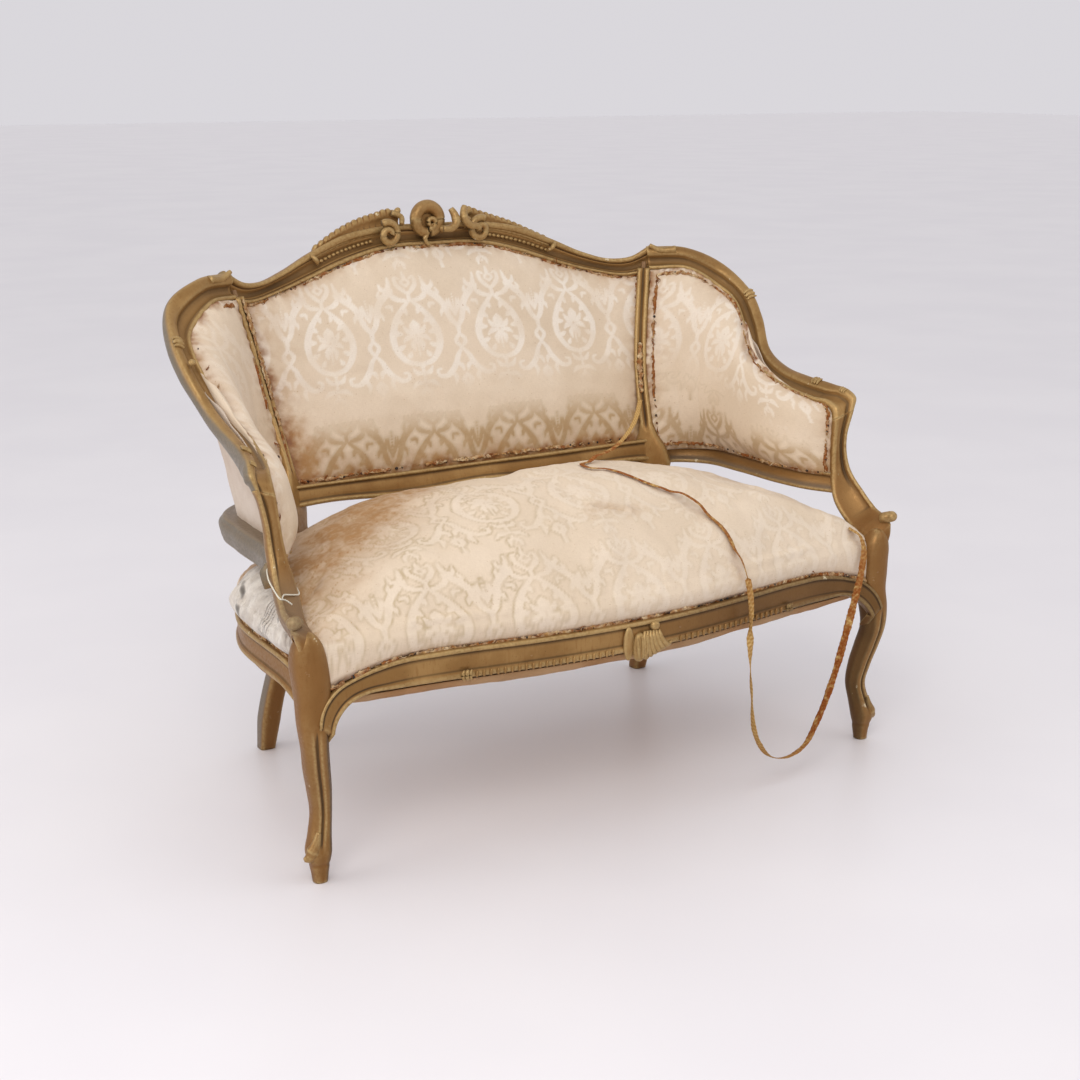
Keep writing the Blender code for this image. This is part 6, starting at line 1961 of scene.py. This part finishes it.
def make_wadding():
    """Stuffing that bulges out of the torn cover at the seat's left side."""
    border = seat_outline(1200)
    left = border[(border[:, 0] < -0.42) & (border[:, 1] > -0.268) & (border[:, 1] < 0.03)]
    left = left[np.argsort(left[:, 1])]
    rows, columns = 97, 161
    line = left[np.linspace(0, len(left) - 1, columns).astype(int)]
    step = np.gradient(line, axis=0)
    out = unit(np.stack([-step[:, 1], step[:, 0]], axis=1))
    v = np.linspace(0, 1, rows)[:, None]
    s = np.linspace(0, 1, columns)[None]
    ends = np.clip(np.minimum(s, 1 - s) / 0.10, 0, 1) ** 0.5
    reach = np.interp(s, (0.0, 0.25, 0.5, 0.8, 1.0), (0.01, 0.03, 0.065, 0.095, 0.080))
    inward = np.clip((v - 0.34) / 0.66, 0, 1) ** 1.3 * (reach + 0.01 * np.sin(9 * s))
    share = 1 - inward
    swell = SEAT_SWELL * np.sin(math.pi * np.clip(v / 0.40, 0, 1)) * (v < 0.40)
    z = np.where(v < 0.34, RAIL_TOP + 0.003 + (SEAT_EDGE - 0.003) * v / 0.34, cover_height(share))
    bulge = 0.0160 * np.sin(math.pi * v) ** 0.6 * ends - 0.0015
    plan = SEAT_CENTRE + share[..., None] * (line - SEAT_CENTRE)[None]
    lift = np.clip((v - 0.2) / 0.6, 0, 1)
    grid = np.concatenate([plan + out[None] * (swell + bulge * (1 - 0.55 * lift))[..., None],
                           (z + 0.75 * bulge * lift)[..., None]], axis=2)
    way = normals_across(grid)
    way *= np.sign(-way[..., 0].mean())
    push = 0.0030 * wobble(grid, 0.050, 91, 2) + 0.0004 * wobble(grid, 0.010, 92)
    front = grid + (push * np.sin(math.pi * v) * ends)[..., None] * way
    data = closed_pad("seat_wadding", front, (grid - WADDING_THICKNESS * way)[::COARSE, ::COARSE])
    store_hollows(data, 0.003)
    place = points_of(data)
    # Painted shade: dark holes in the stuffing.
    store(data, "hole", np.clip(wobble(place, 0.042, 93, 2) * 5.0 - 3.9, 0, 1))
    low = np.clip((RAIL_TOP + 0.014 - place[:, 2]) / 0.012, 0, 1)
    store(data, "stain", low * np.clip(0.5 + wobble(place, 0.03, 94), 0, 1))
    piece = add_piece("seat_wadding", data, finish_of("wadding"))


STRING_HEIGHT = 0.458
STRING_THICKNESS = 0.0026
STRING_LIFT = 0.0024
STRING_HEART = np.array([0.004, 0.012, -0.002])
STRING_WIDE = 0.031
STRING_DEEP = 0.0225
STRING_LEAN = np.array([0.2, 0.80, 0.56])
STRING_REACH = 0.08
GIMP_LIFT = 0.0035
GIMP_NEAR = 0.020
GIMP_ON_SEAT = 190


def surface_of(name):
    """The faces of a finished piece, to lay other things on."""
    data = bpy.data.objects[name].data
    return BVHTree.FromPolygons([v.co[:] for v in data.vertices], [p.vertices[:] for p in data.polygons])


def make_string():
    """A string tied round the left arm post, with a short tail."""
    inner, outer = arm_lines(ARM_RINGS)
    at = ARM_RINGS - 1 - int(np.argmin(np.abs(inner[::-1, 2] - STRING_HEIGHT)))
    heart = (inner[at] + outer[at]) / 2 + STRING_HEART
    turn = np.linspace(-0.3, -2 * math.pi - 0.2, 44)[:, None]
    loop = heart + STRING_WIDE * np.cos(turn) * unit(outer[at] - inner[at])
    loop = loop + STRING_DEEP * np.sin(turn) * STRING_LEAN
    ahead = unit(loop[-1] - loop[-2])
    tail = smooth([loop[-1], loop[-1] + 0.008 * ahead, loop[-1] + 0.017 * ahead + (-0.004, -0.003, -0.004),
                   loop[-1] + 0.024 * ahead + (-0.013, -0.008, -0.012)], 20)
    line = np.concatenate([loop, tail[1:]]) * FLIP
    heart = heart * FLIP
    post = surface_of("arm_post_carved_left")
    for _ in range(3):
        for k, spot in enumerate(line):
            way = unit(spot - heart)
            hit = post.ray_cast(heart + STRING_REACH * way, -way, STRING_REACH)[0]
            if hit and np.linalg.norm(np.array(hit) - heart) + STRING_LIFT > np.linalg.norm(spot - heart):
                line[k] = np.array(hit) + STRING_LIFT * way
        run = runs(line)
        line = at_runs(np.linspace(0, run[-1], 64), run, line)
        for _ in range(2):
            line[1:-1] = 0.25 * line[:-2] + 0.5 * line[1:-1] + 0.25 * line[2:]
    data = tube("tie_string", line, STRING_THICKNESS / 2, 6)
    run = runs(line)
    store(data, "along", np.repeat(run, 6))
    piece = add_piece("tie_string", data, finish_of("string"))


def make_gimp():
    """The torn strip of gimp: flat braid that lies over the seat and hangs in front of it."""
    line = smooth(GIMP_ROUTE, 420)
    seat = surface_of("seat_pad_cover")
    face = np.tile((0.0, 0.0, 1.0), (len(line), 1))
    close = np.zeros(len(line))
    shift = np.zeros(line.shape)
    for k, point in enumerate(line):
        spot, out, _, far = seat.find_nearest(Vector(point))
        rise = (Vector(point) - spot).dot(out)
        if far < GIMP_NEAR:
            face[k], close[k] = out, 1.0 - far / GIMP_NEAR
            if rise < GIMP_LIFT or (k < GIMP_ON_SEAT and rise < 0.012):
                shift[k] = np.array(spot + out * GIMP_LIFT) - point
    for _ in range(8):
        for values in (shift, close):
            values[1:-1] = (values[:-2] + 2 * values[1:-1] + values[2:]) / 4
    line = line + shift
    run = runs(line)
    share = run / run[-1]
    ahead = unit(np.gradient(line, axis=0))
    wide = np.interp(share, (0, 0.30, 0.42, 0.5, 0.78, 0.9, 1.0),
                     (0.009, 0.009, 0.010, 0.011, 0.013, 0.013, 0.011))
    wide *= 1 + 0.10 * wobble(line, 0.03, 95, 2)
    tilt = np.interp(share, (0, 0.36, 0.44, 0.52, 0.60, 0.66, 0.74, 0.82, 0.92, 1.0),
                     (0.1, 0.0, 0.5, 2.4, 3.2, 3.4, 3.3, 3.0, 2.8, 2.9))
    side = unit(np.cross(ahead, (0, 0, 1.0)))
    turned = np.cos(tilt)[:, None] * side + np.sin(tilt)[:, None] * np.cross(side, ahead)
    lying = unit(np.cross(face, ahead))
    lying *= np.sign(np.einsum("ij,ij->i", lying, turned))[:, None]
    turned = unit(turned + 1.3 * close[:, None] * lying)
    thick = np.cross(turned, ahead)
    across = np.linspace(-1, 1, 9)
    across = np.concatenate([across, across[::-1]])
    level = 0.0009 * np.cos(1.3 * across) * np.repeat((1.0, -1.0), 9)
    half = 0.5 * wide * (1 + 0.07 * np.sin(620 * run))
    rings = line[:, None] + (half[:, None] * across)[..., None] * turned[:, None]
    data = loft("loose_gimp_braid", rings + level[:, None] * thick[:, None])
    store(data, "along", np.repeat(run, len(across)))
    store(data, "across", np.tile(across, len(line)))
    rusty = np.interp(share, (0, 0.03, 0.10, 0.14, 0.30, 0.45, 0.53, 0.60, 0.72, 0.78, 0.95, 1.0),
                      (0.1, 0.05, 0.1, 0.85, 0.9, 0.7, 0.25, 0.1, 0.45, 1.0, 0.75, 0.2))
    store(data, "rust", np.repeat(rusty, len(across)))
    piece = add_piece("loose_gimp_braid", data, finish_of("braid"), ("loose_gimp",))


# Stage

CAMERA_PLACE = (-1.5025, -2.4921, 1.2169)
CAMERA_TURN = -31.5
CAMERA_DROP = 15.65
CAMERA_LENS = 55.47
CAMERA_SENSOR = 36.0
CAMERA_FAR = 60.0
FLOOR_REACH = 40.0
FLOOR_DROP = 0.0004
SKY_LOW = (0.24, 0.24, 0.25)
SKY_HIGH = (1.00, 0.99, 1.00)
BACKDROP = (0.700, 0.683, 0.716)
LAMP_COLOUR = (1.0, 0.97, 0.93)
LAMPS = (("key", (-2.0, -2.6, 3.0), (0.0, -0.1, 0.4), 2.2, 57),
         ("fill", (2.4, -2.4, 2.4), (-0.2, 0.1, 0.5), 2.4, 10),
         ("side", (-3.2, 0.4, 1.6), (0, 0, 0.5), 1.8, 22))


def make_stage():
    """The camera, a wide pale floor, soft light from the sky that isn't seen itself, and three lamps."""
    scene = bpy.context.scene
    lens = bpy.data.cameras.new("camera")
    lens.sensor_width = CAMERA_SENSOR
    lens.lens = CAMERA_LENS
    lens.clip_end = CAMERA_FAR
    camera = bpy.data.objects.new("camera", lens)
    camera.location = CAMERA_PLACE
    camera.rotation_euler = (math.radians(90 - CAMERA_DROP), 0, math.radians(CAMERA_TURN))
    scene.collection.objects.link(camera)
    scene.camera = camera
    data = bpy.data.meshes.new("floor")
    data.from_pydata([(x * FLOOR_REACH, y * FLOOR_REACH, -FLOOR_DROP)
                      for x, y in ((-1, -1), (1, -1), (1, 1), (-1, 1))], [], [(0, 1, 2, 3)])
    data.materials.append(finish_of("floor"))
    floor = bpy.data.objects.new("floor", data)
    scene.collection.objects.link(floor)
    world = bpy.data.worlds.new("studio")
    scene.world = world
    world.use_nodes = True
    sky = world.node_tree.nodes["Background"]
    tree = Wire(world.node_tree)
    height = tree.node("ShaderNodeTexCoord", output="Generated").part("Z")
    seen = sum((tree.node("ShaderNodeLightPath", output=ray)
                for ray in ("Is Glossy Ray", "Is Transmission Ray")),
               tree.node("ShaderNodeLightPath", output="Is Camera Ray"))
    light = seen.clamped().mix(height.ramp(0.0, 0.75).mix(SKY_LOW, SKY_HIGH), BACKDROP)
    world.node_tree.links.new(light.socket, sky.inputs["Color"])
    sky.inputs["Strength"].default_value = 1.0
    power = scene.salon_sofa.light
    for name, place, aim, size, watts in LAMPS:
        lamp = bpy.data.lights.new(name, "AREA")
        lamp.size = size
        lamp.energy = watts * power
        lamp.color = LAMP_COLOUR
        made = bpy.data.objects.new(name, lamp)
        made.location = place
        made.rotation_euler = (Vector(aim) - Vector(place)).to_track_quat("-Z", "Y").to_euler()
        scene.collection.objects.link(made)
    scene.view_settings.view_transform = "Standard"
    scene.render.film_transparent = False


# The add-on

def colour_prop(name, description, default):
    """A colour that can be set, linear."""
    return FloatVectorProperty(name=name, description=description, default=default, subtype="COLOR",
                               size=3, min=0.0, max=1.0)


def length_prop(name, description, default, most):
    """A size that can be set, in metres."""
    return FloatProperty(name=name, description=description, default=default, min=0.0, max=most,
                         unit="LENGTH", subtype="DISTANCE")


class SalonSofaSettings(bpy.types.PropertyGroup):
    """How worn the sofa looks, and how it is lit."""
    wear: FloatProperty(name="Gilding wear", default=0.8, min=0.0, max=1.0, subtype="FACTOR",
                        description="How much of the gilding is rubbed through to the gesso")
    stains: FloatProperty(name="Stains", default=1.0, min=0.0, max=1.5,
                          description="How strong the covers' stains and rust marks are")
    light: FloatProperty(name="Studio light", default=1.0, min=0.1, max=4.0,
                         description="Strength of the lamps")


class SalonSofaSizes(bpy.types.PropertyGroup):
    """Sizes of the soft parts that can be set before they are built."""
    seat_crown: length_prop("Seat crown", "Height of the seat's middle over the rails", 0.195, 0.3)
    back_crown: length_prop("Back crown", "How far the back pad bulges", 0.034, 0.1)
    arm_crown: length_prop("Arm crown", "How far the arm pads bulge", 0.045, 0.1)
    bottom_sag: length_prop("Bottom sag", "How far the canvas sags under the seat", 0.046, 0.1)
    tack_pitch: length_prop("Tack pitch", "Distance between tacks along the nailed edges", 0.024, 0.06)


class SalonSofaColours(bpy.types.PropertyGroup):
    """Main colours of the gilding, cloth and wood."""
    gold: colour_prop("Gold", "Gilding where it is sound", (0.365, 0.212, 0.076))
    gold_deep: colour_prop("Deep gold", "Darker clouds in the gilding", (0.250, 0.130, 0.040))
    # Light gold stands for rubbed ridges and a painted highlight.
    gold_rubbed_and_highlight: colour_prop("Light gold", "Gilding rubbed bright on ridges", (0.52, 0.37, 0.165))
    # Cove is a painted shade in the broad hollows.
    cove: colour_prop("Cove", "Gilding in the broad hollows", (0.345, 0.192, 0.068))
    # Umber is dirt and painted shade, in the grooves and on the front legs' inner faces.
    umber_dirt_and_shade: colour_prop("Umber", "Dirt in grooves", (0.050, 0.028, 0.012))
    gesso: colour_prop("Gesso", "Ground under the gilding", (0.72, 0.62, 0.42))
    grey_wood: colour_prop("Grey wood", "Dulled faces turned away from the sitter", (0.165, 0.145, 0.115))
    brown_wood: colour_prop("Brown wood", "Bole that shows through", (0.215, 0.093, 0.025))
    silk: colour_prop("Silk", "Ground of the damask", (0.76, 0.625, 0.48))
    silk_dull: colour_prop("Dull silk", "Duller clouds in the ground", (0.70, 0.565, 0.42))
    # The figure's lighter and darker colours are a painted sheen.
    silk_light: colour_prop("Light silk", "Figure where it is lighter", (0.85, 0.765, 0.665))
    silk_dark: colour_prop("Dark silk", "Figure where it is darker", (0.46, 0.315, 0.165))
    silk_line: colour_prop("Silk line", "Outline of the figure", (0.50, 0.385, 0.235))
    stain: colour_prop("Stain", "Stains in the damask", (0.40, 0.205, 0.068))
    rust: colour_prop("Rust", "Rust from tacks", (0.22, 0.075, 0.020))
    canvas: colour_prop("Canvas", "Raw canvas and webbing", (0.42, 0.22, 0.09))
    beech: colour_prop("Beech", "Bare wood inside the frame", (0.30, 0.17, 0.075))


GROUPS = {"salon_sofa": SalonSofaSettings, "sofa_sizes": SalonSofaSizes, "sofa_colours": SalonSofaColours}


class SOFA_OT_stage(bpy.types.Operator):
    """Set up the camera, the floor and the light"""
    bl_idname = "salon_sofa.stage"
    bl_label = "Camera, floor and light"
    bl_options = {"REGISTER", "UNDO"}

    def execute(self, context):
        make_stage()
        return {"FINISHED"}


class SOFA_OT_crest(bpy.types.Operator):
    """Build the crest rail, its scroll, leaves and pearls"""
    bl_idname = "salon_sofa.crest"
    bl_label = "Crest and its carving"
    bl_options = {"REGISTER", "UNDO"}

    def execute(self, context):
        make_crest()
        return {"FINISHED"}


class SOFA_OT_arms(bpy.types.Operator):
    """Build the wings, the arm posts and the lower rails of arms and back"""
    bl_idname = "salon_sofa.arms"
    bl_label = "Wings, arm posts and lower rails"
    bl_options = {"REGISTER", "UNDO"}

    def execute(self, context):
        make_wings()
        make_arm_posts()
        make_arm_rails()
        return {"FINISHED"}


class SOFA_OT_legs(bpy.types.Operator):
    """Build the legs and seat rails with the shell, and paint the wood inside"""
    bl_idname = "salon_sofa.legs"
    bl_label = "Legs, seat rails and shell"
    bl_options = {"REGISTER", "UNDO"}

    def execute(self, context):
        make_front_legs()
        make_rear_posts()
        make_seat_rails()
        make_shell()
        paint_inner_wood()
        return {"FINISHED"}


class SOFA_OT_covers(bpy.types.Operator):
    """Build the stuffed pads, and the tacks, torn gimp and wadding at their edges"""
    bl_idname = "salon_sofa.covers"
    bl_label = "Pads, their tacks and torn edges"
    bl_options = {"REGISTER", "UNDO"}

    def execute(self, context):
        pads = [make_back_pad(), *make_arm_pads()]
        seat_edge, seat_out = make_seat_pad()
        edges = [(seat_edge, seat_out, SEAT_KEPT, SEAT_STRIP)]
        for (front, normal), kept in zip(pads, PADS_KEPT):
            inset, way = (part[INSET:-INSET, INSET:-INSET] for part in (front, normal))
            loop = edge_loop(*inset.shape[:2])
            edges.append((inset.reshape(-1, 3)[loop], way.reshape(-1, 3)[loop], kept, PAD_STRIP))
        make_trimmings(edges, context.scene.sofa_sizes.tack_pitch)
        make_wadding()
        return {"FINISHED"}


class SOFA_OT_gimp(bpy.types.Operator):
    """Lay the loose gimp over the seat and tie the string round the arm post"""
    bl_idname = "salon_sofa.gimp"
    bl_label = "Loose gimp and string"
    bl_options = {"REGISTER", "UNDO"}

    def execute(self, context):
        make_gimp()
        make_string()
        return {"FINISHED"}


class SOFA_OT_undersides(bpy.types.Operator):
    """Build the outside covers, the sprung seat's inside and the canvas under it"""
    bl_idname = "salon_sofa.undersides"
    bl_label = "Outside covers, springs and canvas"
    bl_options = {"REGISTER", "UNDO"}

    def execute(self, context):
        make_outside_covers()
        make_seat_insides()
        make_bottom_cloth()
        return {"FINISHED"}


OPERATORS = (SOFA_OT_stage, SOFA_OT_crest, SOFA_OT_arms, SOFA_OT_legs, SOFA_OT_covers, SOFA_OT_gimp,
             SOFA_OT_undersides)


class SOFA_PT_panel(bpy.types.Panel):
    """What can be set, and a button for each group of pieces"""
    bl_label = "Salon Sofa"
    bl_idname = "SOFA_PT_panel"
    bl_space_type = "VIEW_3D"
    bl_region_type = "UI"
    bl_category = "Sofa"

    def draw(self, context):
        for group, kind in GROUPS.items():
            for name in kind.__annotations__:
                self.layout.prop(getattr(context.scene, group), name)
        for operator in OPERATORS:
            self.layout.operator(operator.bl_idname)


CLASSES = (*GROUPS.values(), *OPERATORS, SOFA_PT_panel)


def register():
    """Register the classes and give the scene its settings."""
    for kind in CLASSES:
        bpy.utils.register_class(kind)
    for group, kind in GROUPS.items():
        setattr(bpy.types.Scene, group, PointerProperty(type=kind))


def unregister():
    """Take the settings and the classes away again."""
    for group in GROUPS:
        delattr(bpy.types.Scene, group)
    for kind in reversed(CLASSES):
        bpy.utils.unregister_class(kind)


def main():
    """Build every group of pieces."""
    register()
    for step in ("stage", "crest", "arms", "legs", "covers", "gimp", "undersides"):
        getattr(bpy.ops.salon_sofa, step)()


if __name__ == "__main__":
    main()
